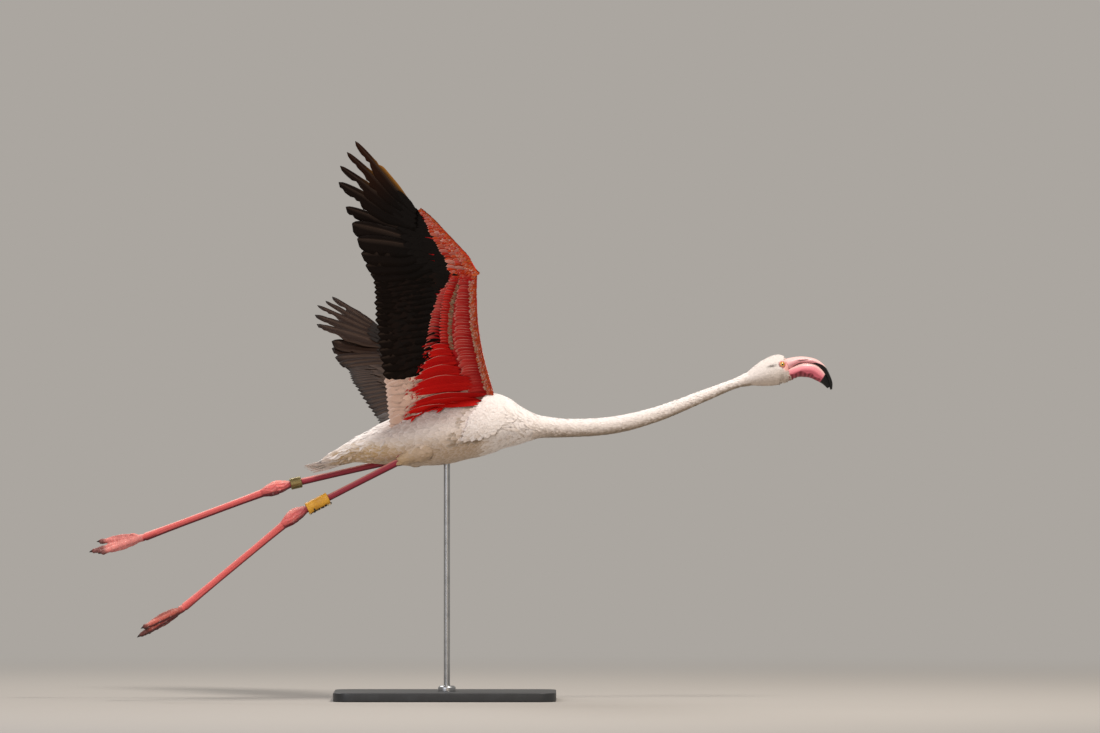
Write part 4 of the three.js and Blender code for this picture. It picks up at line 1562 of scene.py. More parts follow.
        # Painted shade where the toes face down and in the creases between them.
        folded = np.maximum(ease(down, 0.3, 0.9), ease(at.gap, 6.6, 9.0)) * toe
        layers = (
            (MARKS.LEG_DEEP, 0.22 * streak + 0.1 * cut * toe),
            (MARKS.LEG_PALE, 0.25 * light),
            # Painted highlight along the upper side and painted shade along the under side.
            (MARKS.LEG_LIT, ease(up, 0.25, 0.85) * np.where(tarsus, 0.75, 0.5)),
            (MARKS.LEG_DEEP * 0.35, ease(down, 0.1, 0.75)),
            (MARKS.LEG_DEEP, 0.55 * speckle),
            (MARKS.CREAM, 0.4 * crusted),
            (MARKS.SLATE, 0.45 * folded),
            (MARKS.LEG_PALE, 0.5 * toe * (side is Side.LEFT)),
            (MARKS.SLATE, 0.7 * ease(at.reach, 1.86, 1.98)),
        )
        colour = MARKS.leg(at.reach, at.knob)
        for over, share in layers:
            colour = tint(colour, over, share)
        return colour


# ---------- coats of the body ----------


def spine_unwrap(share: Points, angle: Points) -> Points:
    """A root's place on the unwrapped trunk and neck."""
    return np.stack([0.02 + 0.96 * np.clip(share, 0, 1), 0.5 + angle / (2.1 * math.pi)], -1)


def varied(colour: Points, amount: float, rng: np.random.Generator) -> Points:
    """The colours, each feather a little lighter or darker than its neighbours."""
    return np.clip(colour * (1 + rng.normal(0, amount, (len(colour), 1))), 0, 1)


@dataclass
class BodyCoat:
    """Contour feathers of trunk, neck, head and thighs."""

    trunk: Vane = Vane(length=27, width=14, rows=7, rise=0.8, yaw=0.13, roll=0.045, ragged=0.12)
    neck: Vane = Vane(length=11, width=5.6, rows=4, rise=0.7, sink=0.3, yaw=0.2, roll=0.12)
    head: Vane = Vane(length=6.2, width=3.0, rows=4, rise=0.35, sink=0.25, yaw=0.2, roll=0.1)
    thigh: Vane = Vane(length=22, width=11, rows=7, rise=1.1, yaw=0.18, roll=0.1, ragged=0.15)
    plume: Vane = Vane(length=34, width=10, rise=5.0, yaw=0.35, roll=0.3, ragged=0.3, blunt=1.6)
    neck_pitch: float = 3.2
    head_pitch: float = 1.9
    rng: np.random.Generator = field(default_factory=lambda: np.random.default_rng(11))

    def build(self) -> None:
        """Builds trunk, neck, head and both thighs."""
        # Contour feathers are soft and matt: hardly any gloss or barbs, and a bloom at the outline.
        keratin = FeatherKeratin("keratin_white_contour_feather", 0.8, sheen=0.25, contrast=0.07, relief=0.06)
        finish = keratin.make()
        self._build_trunk(finish)
        self._build_neck(finish)
        self._build_head(finish)
        for side in Side:
            self._build_thigh(side, finish)

    def _shade(self, colour: Points, amount: float = 0.03) -> Points:
        """The colours, varied a little."""
        return varied(colour, amount, self.rng)

    def _tract(self, place: Place, u: Points, v: Points, vane: Vane, toward: Any, scale: Any, lift: Any = 1.0) -> Tract:
        """Feathers over one surface of the body."""
        return Tract(place, u, v, vane, toward, 1, scale, lift, self.rng, spine_unwrap)

    def _roots(self, place: Place, rows: Sequence[float], pitch: Any) -> tuple[Points, Points]:
        """Roots in rings all round a form."""
        return bricks(place, rows, -math.pi, math.pi, pitch, self.rng, along_u=False)

    def _build_trunk(self, finish: bpy.types.Material) -> None:
        """Trunk feathers, longest over rump and tail, loosest on the breast.

        Args:
            finish: The material.
        """
        bundle = Bundle("feathers_trunk")
        rows = steps_along(SPINE.place, 0.012, NECK_FROM + 0.03, 0.0, lambda u: mix(8.4, 5.0, ease(u, 0.36, 0.58)))
        u, v = self._roots(SPINE.place, rows, lambda u: mix(8.0, 4.6, float(ease(u, 0.36, 0.58))))
        breast = ease(u, 0.40, 0.45) * ease(u, 0.6, 0.55) * ease(np.abs(v), 0.75, 1.2)
        rear = ease(u, 0.3, 0.05)
        scale = mix(1.0, 0.62, ease(u, 0.36, 0.58)) * (1 + 0.4 * rear) * self.rng.uniform(0.85, 1.15, len(u))
        lift = 1 + 0.4 * breast * self.rng.random(len(u))
        toward = math.pi + breast * self.rng.normal(0, 0.12, len(u))
        colour = tint(MARKS.body(u, v), MARKS.WHITE, 0.6 * breast)
        # Painted shadow: fawn on the flank just behind the crisp edge of the loose side feathers.
        shaded = ease(swell(u, v, 13.0), 0.5, 5.0) * ease(swell(u, v), 3.0, 0.2)
        colour = tint(colour, MARKS.FAWN * 0.6, 0.75 * shaded)
        root = self._shade(colour * 0.94)
        tip = self._shade(colour * 1.06)
        tract = self._tract(SPINE.place, u, v, self.trunk, toward, scale, lift)
        tract.lay(bundle, root, tip, mix(tip, MARKS.WHITE, 0.3))
        self._add_plumes(bundle)
        for side in Side:
            self._add_lobe(bundle, side)
        settle(bundle.build(finish), "plumage")

    def _add_lobe(self, bundle: Bundle, side: Side) -> None:
        """The swell of loose side feathers that laps over the front of the flank and the wing's root.

        Args:
            bundle: What they are gathered in.
            side: Which flank.
        """
        rows = steps_along(SPINE.place, 0.32, 0.49, 0.0, lambda u: 4.2)
        u, v = bricks(SPINE.place, rows, 0.15, 2.2, 4.0, self.rng, along_u=False)
        keep = swell(u, v) > 0.8
        u, v = u[keep], side.sign * v[keep]
        toward = math.pi - side.sign * (0.45 + self.rng.normal(0, 0.1, len(u)))
        scale = self.rng.uniform(0.5, 0.66, len(u))
        lift = 1 + 0.5 * self.rng.random(len(u)) ** 2
        colour = tint(MARKS.body(u, v), MARKS.WHITE, self.rng.uniform(0.2, 0.8, len(u)))
        tract = self._tract(over_swell, u, v, self.trunk, toward, scale, lift)
        # Painted shade: each feather's root is a little darker than its tip.
        tract.lay(bundle, self._shade(colour * 0.95), self._shade(colour), mix(colour, MARKS.WHITE, 0.25))

    def _add_plumes(self, bundle: Bundle) -> None:
        """Loose tufts on the lower breast, at the vent and over the thighs.

        Args:
            bundle: What they are gathered in.
        """
        patches = (
            (0.47, 1.7, 0.04, 0.4, 50),
            (0.53, 2.0, 0.04, 0.4, 36),
            (0.11, 2.4, 0.05, 0.6, 70),
            (0.14, 1.0, 0.07, 0.3, 90),
        )
        for share, angle, along, around, count in patches:
            for sign in (-1, 1):
                u = np.maximum(share + self.rng.normal(0, along, count), 0.04)
                v = sign * (angle + self.rng.normal(0, around, count))
                scale = self.rng.uniform(0.45, 0.9, count)
                toward = math.pi + self.rng.normal(0, 0.3, count)
                lift = self.rng.uniform(0.1, 0.8, count)
                tract = self._tract(SPINE.place, u, v, self.plume, toward, scale, lift)
                colour = MARKS.body(u, v)
                tract.lay(bundle, self._shade(colour * 0.92), self._shade(mix(colour, MARKS.WHITE, 0.5)))

    def _build_neck(self, finish: bpy.types.Material) -> None:
        """Short close feathers of the neck.

        Args:
            finish: The material.
        """
        bundle = Bundle("feathers_neck")
        rows = steps_along(SPINE.place, NECK_FROM - 0.005, 1.0, 0.0, lambda u: self.neck_pitch * 1.15)
        u, v = self._roots(SPINE.place, rows, self.neck_pitch)
        colour = MARKS.body(u, v)
        tract = self._tract(SPINE.place, u, v, self.neck, math.pi, mix(1.5, 1.0, ease(u, 0.56, 0.7)))
        tract.lay(bundle, self._shade(colour * 0.92, 0.05), self._shade(colour * 1.04))
        settle(bundle.build(finish), "plumage")

    def _build_head(self, finish: bpy.types.Material) -> None:
        """Velvet feathers of the head, with a dusky streak behind each eye and none on the lores.

        Args:
            finish: The material.
        """
        bundle = Bundle("feathers_head")
        rows = steps_along(HEAD.place, 0.0, 1.0, 0.0, lambda u: self.head_pitch * 1.2)
        u, v = self._roots(HEAD.place, rows, self.head_pitch)
        own = HEAD.own(u, v)
        bridge = (own[:, 0] > 682) & (np.abs(own[:, 2] - (EYE.z - 3)) < 7)
        chin = ease(124 - own[:, 2], 0.0, 8.0)
        front = own[:, 0] > mix(mix(691.0, 686.0, ease(np.abs(v), 0.3, 0.8)), 698.0, chin)
        keep = ~(front | bridge | (EYE.gap(own) < 6.3))
        u, v, own = u[keep], v[keep], own[keep]
        behind = own[:, 0] - 661
        streak = hill(behind, 0, 9) * hill(own[:, 2] - 131, 0.15 * behind, 2.5)
        colour = tint(MARKS.head(u, v), MARKS.FAWN * 0.12, streak)
        away = np.arctan2(own[:, 2] - EYE.z, own[:, 0] - EYE.x)
        toward = math.pi + 0.5 * ease(EYE.gap(own), 15, 8) * np.sin(away) * np.sign(v)
        lift = self.rng.uniform(0.7, 1.4, len(u))
        tract = self._tract(HEAD.place, u, v, self.head, toward, mix(1.25, 0.7, ease(u, 0.2, 0.85)), lift)
        tract.lay(bundle, self._shade(colour * 0.92, 0.05), self._shade(colour * 1.04, 0.04))
        self._add_chin(bundle)
        settle(bundle.build(finish), "plumage")

    def _add_chin(self, bundle: Bundle) -> None:
        """The wedge of short feathers that runs forward under the root of the bill.

        Args:
            bundle: What they are gathered in.
        """
        loft = Loft(Bill.lower)
        rows = steps_along(loft.place, 0.0, 0.19, math.pi, lambda u: self.head_pitch)
        u, v = self._roots(loft.place, rows, self.head_pitch)
        own = loft.own(u, v)
        low = own[:, 2] < 120 - 1.3 * (own[:, 0] - 694) + self.rng.normal(0, 0.8, len(u))
        u, v = u[low], v[low]
        colour = np.broadcast_to(mix(MARKS.FAWN, MARKS.CREAM, 0.5), (len(u), 3))
        lift = self.rng.uniform(1.5, 2.5, len(u))
        tract = self._tract(loft.place, u, v, self.head, math.pi, 1.15, lift)
        tract.lay(bundle, self._shade(colour * 0.92), self._shade(colour * 1.04))

    def _build_thigh(self, side: Side, finish: bpy.types.Material) -> None:
        """Feathers of the thigh, which end in a loose cuff over the bare leg.

        Args:
            side: Which thigh.
            finish: The material.
        """
        bundle = Bundle(f"feathers_thigh_{side.value}")
        line = LEG_LINES[side]
        stations = []
        for index, (deep, wide) in enumerate(((14, 12), (26, 22), (27, 23), (19, 17), (12.5, 12))):
            x, y, z = mix(line.hip, line.knee, 0.21 * index)
            stations.append(Station(x, z, deep, wide, y=y))
        loft = Loft(stations)
        rows = steps_along(loft.place, 0.02, 1.0, 0.0, lambda u: 4.6)
        u, v = self._roots(loft.place, rows, 4.8)
        share, turn, _ = along_spine(loft.own(u, v))
        colour = MARKS.body(share, turn)
        scale = mix(1.0, 0.75, u) * self.rng.uniform(0.8, 1.2, len(u))
        lift = 1 + 0.6 * ease(u, 0.6, 1.0) * self.rng.random(len(u))
        tract = self._tract(loft.place, u, v, self.thigh, 0.0, scale, lift)
        tract.lay(bundle, self._shade(colour * 0.92), self._shade(colour * 1.05, 0.04))
        settle(bundle.build(finish), "plumage")


@dataclass
class Tail:
    """Twelve short tail feathers in a shallow fan."""

    feathers: int = 12
    rows: int = 14
    length: float = 66.0
    shorter: float = 24.0  # of the outermost feathers
    overlap: float = 26.0  # how far the roots run under the rump
    drop: float = 17.0
    arch: float = 9.0
    half: float = 24.0
    root: tuple[float, float] = (-331.0, -80.0)
    rng: np.random.Generator = field(default_factory=lambda: np.random.default_rng(23))

    def build(self) -> None:
        """Builds the fan as one piece."""
        bundle = Bundle("tail_feathers")
        for index in range(self.feathers):
            quill = self._quill((index + 0.5) / self.feathers * 2 - 1)
            strip = (index / self.feathers, (index + 0.9) / self.feathers)
            quill.build(bundle, self._paint(self.rng.uniform(0.0, 0.15)), strip, self.rng)
        # Tail feathers are stiffer than the contour feathers, so their barbs show a little more.
        finish = FeatherKeratin("keratin_white_tail_feather", contrast=0.08).make()
        settle(bundle.build(finish), "plumage", "tail")

    @staticmethod
    def _paint(tone: float) -> Paint:
        """White with a little sand, and more sand on the under face as painted shade."""
        return lambda share, across, upper: tint(MARKS.WHITE, MARKS.SAND, tone + (0.0 if upper else 0.15) + 0 * share)

    def _quill(self, place: float) -> Quill:
        """One feather of the fan.

        Args:
            place: Where it lies across, from -1 to 1.

        Returns:
            The feather.
        """
        flat, tilted = math.cos(FLIGHT.bank), math.sin(FLIGHT.bank)
        share = np.linspace(0, 1, self.rows)[:, None]
        reach = self.length - self.shorter * place**2
        level = self.arch * (1 - place**2) * (1 - 0.4 * share)
        across = place * self.half * (0.7 + 0.42 * share)
        x = self.root[0] + self.overlap - share * (reach + self.overlap)
        z = self.root[1] - share * self.drop + level - 3 - across * tilted - 3 * abs(place)
        middle = FLIGHT.body(np.concatenate([x, across * flat, z], 1))
        outward = np.tile(spot(0, flat, -tilted - 0.1 * place), (self.rows, 1))
        lead = unit(FLIGHT.body(outward) - FLIGHT.shoulders) * (1 if place > 0 else -1)
        normal = unit(np.cross(unit(np.gradient(middle, axis=0)), lead))
        normal = normal * np.sign(normal[:, 2:3])
        return Quill(middle, lead, normal, 8.0, 11.0, blunt=3.0, thick=0.5, shaft=1.0, splits=1)


# ---------- wings ----------


@dataclass(frozen=True)
class WingPose:
    """How one wing departs from the shape that both share."""

    sweep: float = 0.0
    set_back: float = 0.0
    lift: float = 0.0
    black_to: float = 0.205  # span where the black remiges give way to blush tertials
    tips: tuple[tuple[float, float], ...] = ()  # forward and upward shift of the tips of primaries 5 to 10


class WingShape:
    """The surface of one wing in the level frame of a left wing: span 0 shoulder to 1 wrist, chord 0 front to 1 rear."""

    POSES = {
        Side.RIGHT: WingPose(black_to=0.235, tips=((0, 0), (0, 0), (-8, 3), (-9, 8), (-6, 6), (8, 0))),
        Side.LEFT: WingPose(
            sweep=0.13,
            set_back=20.0,
            lift=24.0,
            black_to=0.03,
            tips=((8, -12), (-15, 0), (-15, -12), (-13, 0), (-6, -2), (6, 0)),
        ),
    }
    BULGE = 10.0  # how far the hand's front edge stands out beyond the line from wrist to tip
    ROOT_FRONT = (28, 62, 60)
    WRIST = (-24, 387, 234)
    TRAILING = (
        (-207, 40, -26),
        (-222, 130, 64),
        (-243, 238, 166),
        (-253, 340, 227),
        (-276, 388, 257),
        (-296, 431, 310),
        (-324, 458, 378),
    )
    TIPS = {7: (-327, 484, 410), 8: (-324, 509, 433), 9: (-313, 543, 456), 10: (-310, 577, 477)}
    INSIDE = -0.14  # the span where the trailing edge starts, inside the shoulder
    HOLLOW = 14.0  # how far the arm's front edge bends back
    CAMBER = 11.0
    FLESH = 0.42  # share of the chord that the flesh fills
    HAND_END = 0.46  # share of the hand's length that the flesh fills
    THICK_SHOULDER = 26.0
    THICK_WRIST = 14.0
    THICK_HAND = 6.0  # at the hand's end
    SHEET = 1.6  # half the thickness of the feathers behind the flesh
    SHAFT_ROWS = 26  # points along a flight feather

    def __init__(self, side: Side) -> None:
        """Places the landmarks of that side's wing."""
        self.side = side
        self.pose = self.POSES[side]
        self.root = self.adjust(self.ROOT_FRONT)
        self.wrist = self.adjust(self.WRIST)
        self.tip = self.adjust(self.TIPS[10])
        self.trailing = Course([self.adjust(p) for p in self.TRAILING])
        self.hand_root = self.arm(np.array(1.0), np.array(self.FLESH))
        line = unit(self.tip - self.wrist)
        back = self.hand_root - self.wrist
        self.forward = -unit(back - (back @ line) * line)

    def adjust(self, point: Sequence[float]) -> Points:
        """A landmark, moved as this side's wing is swept, set back and lifted."""
        x, y, z = point
        moved = x + float(ease(y, 60, 300)) * (self.pose.sweep * (z - 250) - self.pose.set_back)
        return spot(moved, y, z + self.pose.lift * float(ease(y, 60, 560)))

    def arm(self, span: Points, chord: Points) -> Points:
        """The middle surface of arm and secondaries.

        Args:
            span: Share from shoulder to wrist.
            chord: Share from front to rear.

        Returns:
            Points of the wing's level frame.
        """
        span, chord = np.broadcast_arrays(np.asarray(span, float), np.asarray(chord, float))
        front = mix(self.root, self.wrist, span[..., None])
        front[..., 0] -= self.HOLLOW * np.sin(math.pi * np.clip(span, 0, 1))
        rear = self.trailing.at(0.5 * (span - self.INSIDE) / (1 - self.INSIDE))
        point = mix(front, rear, chord[..., None])
        point[..., 2] += self.CAMBER * np.sin(math.pi * np.clip(chord, 0, 1))
        return point

    def hand_front(self, reach: Points) -> Points:
        """The hand's front edge, from wrist to wing tip."""
        reach = np.asarray(reach, float)
        stand = self.BULGE * ease(reach, 0.0, 0.11) * ease(reach, 0.56, 0.36)
        return mix(self.wrist, self.tip, reach[..., None]) + self.forward * stand[..., None]

    def hand_rear(self, reach: Points) -> Points:
        """The line where the primaries leave the hand."""
        share = np.asarray(reach, float) / self.HAND_END
        end = mix(self.wrist, self.tip, self.HAND_END) + spot(-6, -9, 2)
        point = mix(self.hand_root, end, share[..., None])
        point[..., 0] -= 12 * np.sin(math.pi * np.clip(share, 0, 1))
        return point

    def hand(self, reach: Points, chord: Points) -> Points:
        """The hand's middle surface."""
        reach, chord = np.broadcast_arrays(np.asarray(reach, float), np.asarray(chord, float))
        return mix(self.hand_front(reach), self.hand_rear(reach), chord[..., None])

    def _arm_half(self, span: Points, chord: Points) -> Points:
        """Half the arm's thickness, thinning into the flight feathers."""
        flesh = self._flesh(mix(self.THICK_SHOULDER, self.THICK_WRIST, span), chord / self.FLESH)
        return mix(flesh, self.SHEET, ease(chord, self.FLESH * 0.85, 0.66)) * self._nose(chord / 0.03)

    def _hand_half(self, reach: Points, chord: Points) -> Points:
        """Half the hand's thickness."""
        most = mix(self.THICK_WRIST, self.THICK_HAND, np.clip(reach / self.HAND_END, 0, 1))
        return mix(self._flesh(most, chord), self.SHEET, ease(chord, 0.9, 1.3)) * self._nose(chord / 0.07)

    @staticmethod
    def _flesh(most: Points, share: Points) -> Points:
        """Half the thickness of flesh that is thickest in the middle of its chord."""
        return most * (0.3 + 0.7 * np.sin(math.pi * np.clip(0.12 + 0.8 * share, 0, 1))) / 2

    @staticmethod
    def _nose(share: Points) -> Points:
        """The rounding of the front edge."""
        return np.sqrt(np.clip(1 - (1 - np.clip(share, 0, 1)) ** 2, 0.0, 1))

    def face(self, sheet: Callable, half: Callable, face: Face) -> Place:
        """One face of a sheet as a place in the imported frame.

        Args:
            sheet: The middle surface.
            half: Half its thickness.
            face: Which face.

        Returns:
            The function of the place.
        """

        def place(u: Points, v: Points) -> Points:
            """Points of that face."""
            point = sheet(u, v)
            across = np.cross(sheet(u + NUDGE, v) - point, sheet(u, v + NUDGE) - point)
            raised = point + unit(across) * (face.value * half(u, v))[..., None]
            return FLIGHT.wing(raised, self.side.sign)

        return place

    def arm_face(self, face: Face) -> Place:
        """One face of the arm."""
        return self.face(self.arm, self._arm_half, face)

    def hand_face(self, face: Face) -> Place:
        """One face of the hand."""
        return self.face(self.hand, self._hand_half, face)

    def quill_lines(self, start: Points, end: Points, lead: Points, lean: float, bow: float) -> tuple[Points, ...]:
        """A flight feather's shaft, its leading side and its upward normal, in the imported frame.

        Args:
            start: Where it leaves the flesh.
            end: Its tip.
            lead: A vector toward its leading side.
            lean: Rise of the leading side as the slope of a slat.
            bow: How far its middle stands above the straight line.

        Returns:
            Three rows of vectors along the feather.
        """
        share = np.linspace(0, 1, self.SHAFT_ROWS)[:, None]
        middle = mix(start, end, share)
        middle[:, 2] += bow * np.sin(math.pi * share[:, 0])
        along = unit(np.gradient(middle, axis=0))
        side = unit(lead - np.sum(along * lead, 1, keepdims=True) * along)
        side = unit(side + lean * self._upward(np.cross(side, -along)))
        lines = middle, side, self._upward(np.cross(side, along))
        placed = [FLIGHT.wing(line, self.side.sign) for line in lines]
        origin = FLIGHT.wing(np.zeros(3), self.side.sign)
        return placed[0], placed[1] - origin, placed[2] - origin

    @staticmethod
    def _upward(vectors: Points) -> Points:
        """The vectors at length one, turned so that they point up."""
        return unit(vectors) * np.sign(unit(vectors)[:, 2:3] + 1e-9)


def blush_paint(tone: float) -> Paint:
    """Blush with a slightly paler rim.

    Args:
        tone: How pink it is, from 0 to 1.

    Returns:
        The paint of a feather.
    """

    def paint(share: Points, across: Points, upper: bool) -> Points:
        """The colour at a share of the length and a place across."""
        colour = tint(MARKS.BISQUE, MARKS.PALE_PINK, tone + 0 * share)
        return tint(colour, MARKS.WHITE, 0.2 * np.maximum(ease(np.abs(across), 0.7, 1.0), ease(share, 0.9, 1)))

    return paint


def flight_paint(brown: float, tone: float) -> Paint:
    """Black below, with brown and gold that are partly its own and partly painted light shining through, and a painted
    glint along the shaft; umber above, with a pale shaft and edge that are partly painted sheen.

    Args:
        brown: How brown and gold the under face is, partly its own brown and partly painted light shining through, from
            0 to 1.
        tone: Its lightness against the others.

    Returns:
        The paint of a feather.
    """

    def paint(share: Points, across: Points, upper: bool) -> Points:
        """The colour at a share of the length and a place across."""
        if upper:
            # Pale shaft and trailing edge: partly the vane's own and partly painted sheen.
            shaft = ease(np.abs(across), 0.4, 0.05)
            edge = ease(-across, 0.8, 1.0) * 0.8
            pale = np.maximum(shaft, edge) * ease(share, 0.02, 0.2)
            return tint(tint(MARKS.DUSK * tone, MARKS.ASH, 0.24 * pale), MARKS.BLACK, 0.7 * ease(share, 0.86, 1.0))
        # Umber, over a slight brown of its own, and a gold glow toward the leading side: painted light shining through
        # the vane.
        brown_and_shine_through = max(brown, 0.12) * ease(share, 0.2, 0.7) + 0 * across
        glow = brown * ease(across, 0.15, 0.6) * ease(share, 0.12, 0.3) * ease(share, 0.8, 0.55)
        colour = tint(tint(MARKS.BLACK * tone, MARKS.UMBER, brown_and_shine_through), MARKS.GOLD, 0.42 * glow)
        # A faint pale line along the shaft: partly the shaft's own colour and partly a painted glint.
        return tint(colour, MARKS.ASH, 0.16 * ease(np.abs(across), 0.3, 0.05) * ease(share, 0.1, 0.4))

    return paint


def wing_unwrap(face: Face, base: float) -> Callable[[Points, Points], Points]:
    """Places on the unwrapped wing: its two faces side by side, arm and hand one above the other.

    Args:
        face: Which face.
        base: Where the arm or the hand starts on the map.

    Returns:
        The function from a root's u and v to its place.
    """

    def places(u: Points, v: Points) -> Points:
        """A root's place."""
        x = base + 0.42 * np.clip((u + 0.15) / 1.2, 0, 1)
        return np.stack([x, 0.5 + face.value * (0.02 + 0.46 * np.clip(v, 0, 1))], -1)

    return places


def under_back(own: Points) -> Points:
    """Points of the bird's own frame, sunk into the trunk where they would come out on the back."""
    sunk = own.copy()
    sunk[..., 2] -= 16.0 * ease(np.abs(own[..., 1] - 11), 67, 53) * (own[..., 0] > -260)
    return sunk


@dataclass
class Wing:
    """The feathers of one wing."""

    side: Side
    marginal: Vane = Vane(length=12, width=7, rise=1.0, yaw=0.1)
    lesser: Vane = Vane(length=22, width=11, rows=6, rise=1.4, ragged=0.12, yaw=0.1)
    median: Vane = Vane(length=34, width=15, rows=7, rise=1.8, ragged=0.1, yaw=0.07)
    greater: Vane = Vane(length=66, width=19, rows=8, rise=1.6, yaw=0.04, roll=0.04)
    slat: Vane = Vane(
        length=40,
        width=15,
        rows=9,
        rise=2.2,
        yaw=0.025,
        roll=0.02,
        blunt=3.2,
        spread=0.04,
        tilt=0.16,
        columns=(-1.0, -0.76, 0.0, 0.76, 1.0),
    )
    axillary: Vane = Vane(
        length=120,
        width=30,
        rows=15,
        rise=3.0,
        yaw=0.02,
        roll=0.03,
        peak=0.4,
        blunt=1.9,
        ragged=0.08,
        tilt=0.1,
        columns=(-1.0, -0.88, 0.0, 0.88, 1.0),
    )
    fray: Vane = Vane(length=16, width=2.4, rows=5, rise=0.6, yaw=0.25, roll=0.3, blunt=1.3)
    inner_primaries: int = 6
    secondaries: int = 16
    tertials: int = 10

    def __post_init__(self) -> None:
        """Takes the wing's shape and its random draws."""
        self.shape = WingShape(self.side)
        self.rng = np.random.default_rng(31 + self.side.sign)
        self.primary_lines: list[tuple[Points, ...]] = []

    def build(self) -> None:
        """Builds flight feathers first, then the coverts of both faces."""
        # Melanin makes flight feathers hard and dense: the blackest vane, hardly any gloss, clear barbs.
        black = FeatherKeratin(
            "keratin_black_flight_feather", 0.6, sheen=0.0, gloss=0.06, barb_gap=1.6, contrast=0.35, relief=0.2
        ).make()
        # Coverts are softer, with a satin face that keeps their red deep.
        rose = FeatherKeratin("keratin_rose_covert", 0.7, sheen=0.0, gloss=0.1, barb_gap=1.4).make()
        self._build_primaries(black)
        self._build_secondaries(black)
        self._build_tertials()
        self._build_under_coverts(rose)
        self._build_upper_coverts(rose)
        self._build_axillaries(rose)

    # Flight feathers ----------

    def _named(self, *parts: str) -> list[str]:
        """The names of this side's nodes."""
        return [f"{part}_{self.side.value}" for part in parts]

    def _flight(self, brown: float) -> Paint:
        """The paint of one flight feather, a little lighter or darker than the next."""
        return flight_paint(brown, self.rng.uniform(0.85, 1.15))

    def _quill(self, bundle: Bundle, lines: tuple[Points, ...], strip: float, paint: Paint, **cut: Any) -> None:
        """Adds one flight feather.

        Args:
            bundle: What it is gathered in.
            lines: Its shaft, leading side and normal.
            strip: Where it starts across the bake map.
            paint: Its paint.
            **cut: The fields of its quill.
        """
        Quill(*lines, **cut).build(bundle, paint, (strip, strip + 0.055), self.rng)

    def _build_primaries(self, finish: bpy.types.Material) -> None:
        """Six inner primaries that close into a sheet and four outer ones that part like fingers.

        Args:
            finish: The material.
        """
        shape = self.shape
        bundle = Bundle(f"primaries_{self.side.value}")
        lead = shape.tip - shape.hand_root
        dorsal = unit(np.cross(shape.forward, shape.wrist - shape.tip))
        dorsal = dorsal * np.sign(dorsal[2])
        moves = [spot(x, -(dorsal[0] * x + dorsal[2] * z) / dorsal[1], z) for x, z in shape.pose.tips]
        for index in range(self.inner_primaries):
            span = (index + 0.5) / self.inner_primaries
            start = shape.hand_rear(np.array(mix(0.02, 0.62, span) * shape.HAND_END))
            end = shape.trailing.at(np.array(mix(0.508, 1.0, span)))
            end = end + 3 * unit(end - start) + moves[max(index - 4, 0)] * (index > 3)
            self.primary_lines.append(shape.quill_lines(start, end, lead, 0.1, 4.0))
            cut = dict(lead_width=mix(11, 12, span), trail_width=mix(28, 38, span), root_width=0.5, blunt=8.0)
            cut |= dict(shaft=2.2, notch=0.6 if index == 5 else 1.0)
            self._quill(bundle, self.primary_lines[-1], 0.02 + 0.09 * index, self._flight(0.0), **cut)
        fingers = {7: (48, 0.62, 0.2), 8: (40, 0.52, 0.4), 9: (37, 0.5, 0.9), 10: (30, 0.6, 1.0)}
        for index, (number, (width, notch, brown)) in enumerate(fingers.items()):
            start = shape.hand_rear(np.array(shape.HAND_END * mix(0.74, 1.0, index / 3)))
            end = shape.adjust(shape.TIPS[number]) + moves[index + 2] - dorsal * 9.0
            start = start + 4 * unit(end - start) - dorsal * (4.2 + 2.2 * index)
            self.primary_lines.append(shape.quill_lines(start, end, lead, 0.14, 2.0))
            cut = dict(lead_width=width * 0.34, trail_width=width * 0.66, notch=notch, root_width=0.42, blunt=6.5)
            cut |= dict(shaft=2.4, splits=5)
            self._quill(bundle, self.primary_lines[-1], 0.56 + 0.1 * index, self._flight(brown), **cut)
        solids = self._named("primaries_inner", *(f"primary_{number}" for number in fingers))
        settle(bundle.build(finish), "flight_feathers", *solids)

    def _arm_lines(self, span: float, lean: float, past: float = 0.0) -> tuple[Points, ...]:
        """The lines of a feather that leaves the arm.

        Args:
            span: Where it leaves the arm.
            lean: Rise of its leading side.
            past: How far its tip passes the trailing edge.

        Returns:
            Its shaft, leading side and normal.
        """
        shape = self.shape
        start = shape.arm(np.array(span), np.array(shape.FLESH - 0.02))
        end = shape.arm(np.array(span), np.array(1.0))
        lead = shape.arm(np.array(span + 0.02), np.array(0.7)) - shape.arm(np.array(span - 0.02), np.array(0.7))
        return shape.quill_lines(start, end + past * unit(end - start), unit(lead), lean, 4.0)

    def _build_secondaries(self, finish: bpy.types.Material) -> None:
        """Sixteen secondaries, each overlapping the next like slats.

        Args:
            finish: The material.
        """
        bundle = Bundle(f"secondaries_{self.side.value}")
        cut = dict(lead_width=11.0, trail_width=26.0, root_width=0.75, blunt=9.0, shaft=1.8)
        for index in range(self.secondaries):
            span = mix(0.2, 1.0, (index + 0.5) / self.secondaries)
            lines = self._arm_lines(span, 0.1, 3.0 + self.rng.uniform(-1.5, 1.5))
            paint = self._flight(0.0) if span > self.shape.pose.black_to else blush_paint(0.5)
            self._quill(bundle, lines, 0.01 + 0.061 * index, paint, **cut)
        settle(bundle.build(finish), "flight_feathers", *self._named("secondaries_inner", "secondaries_outer"))

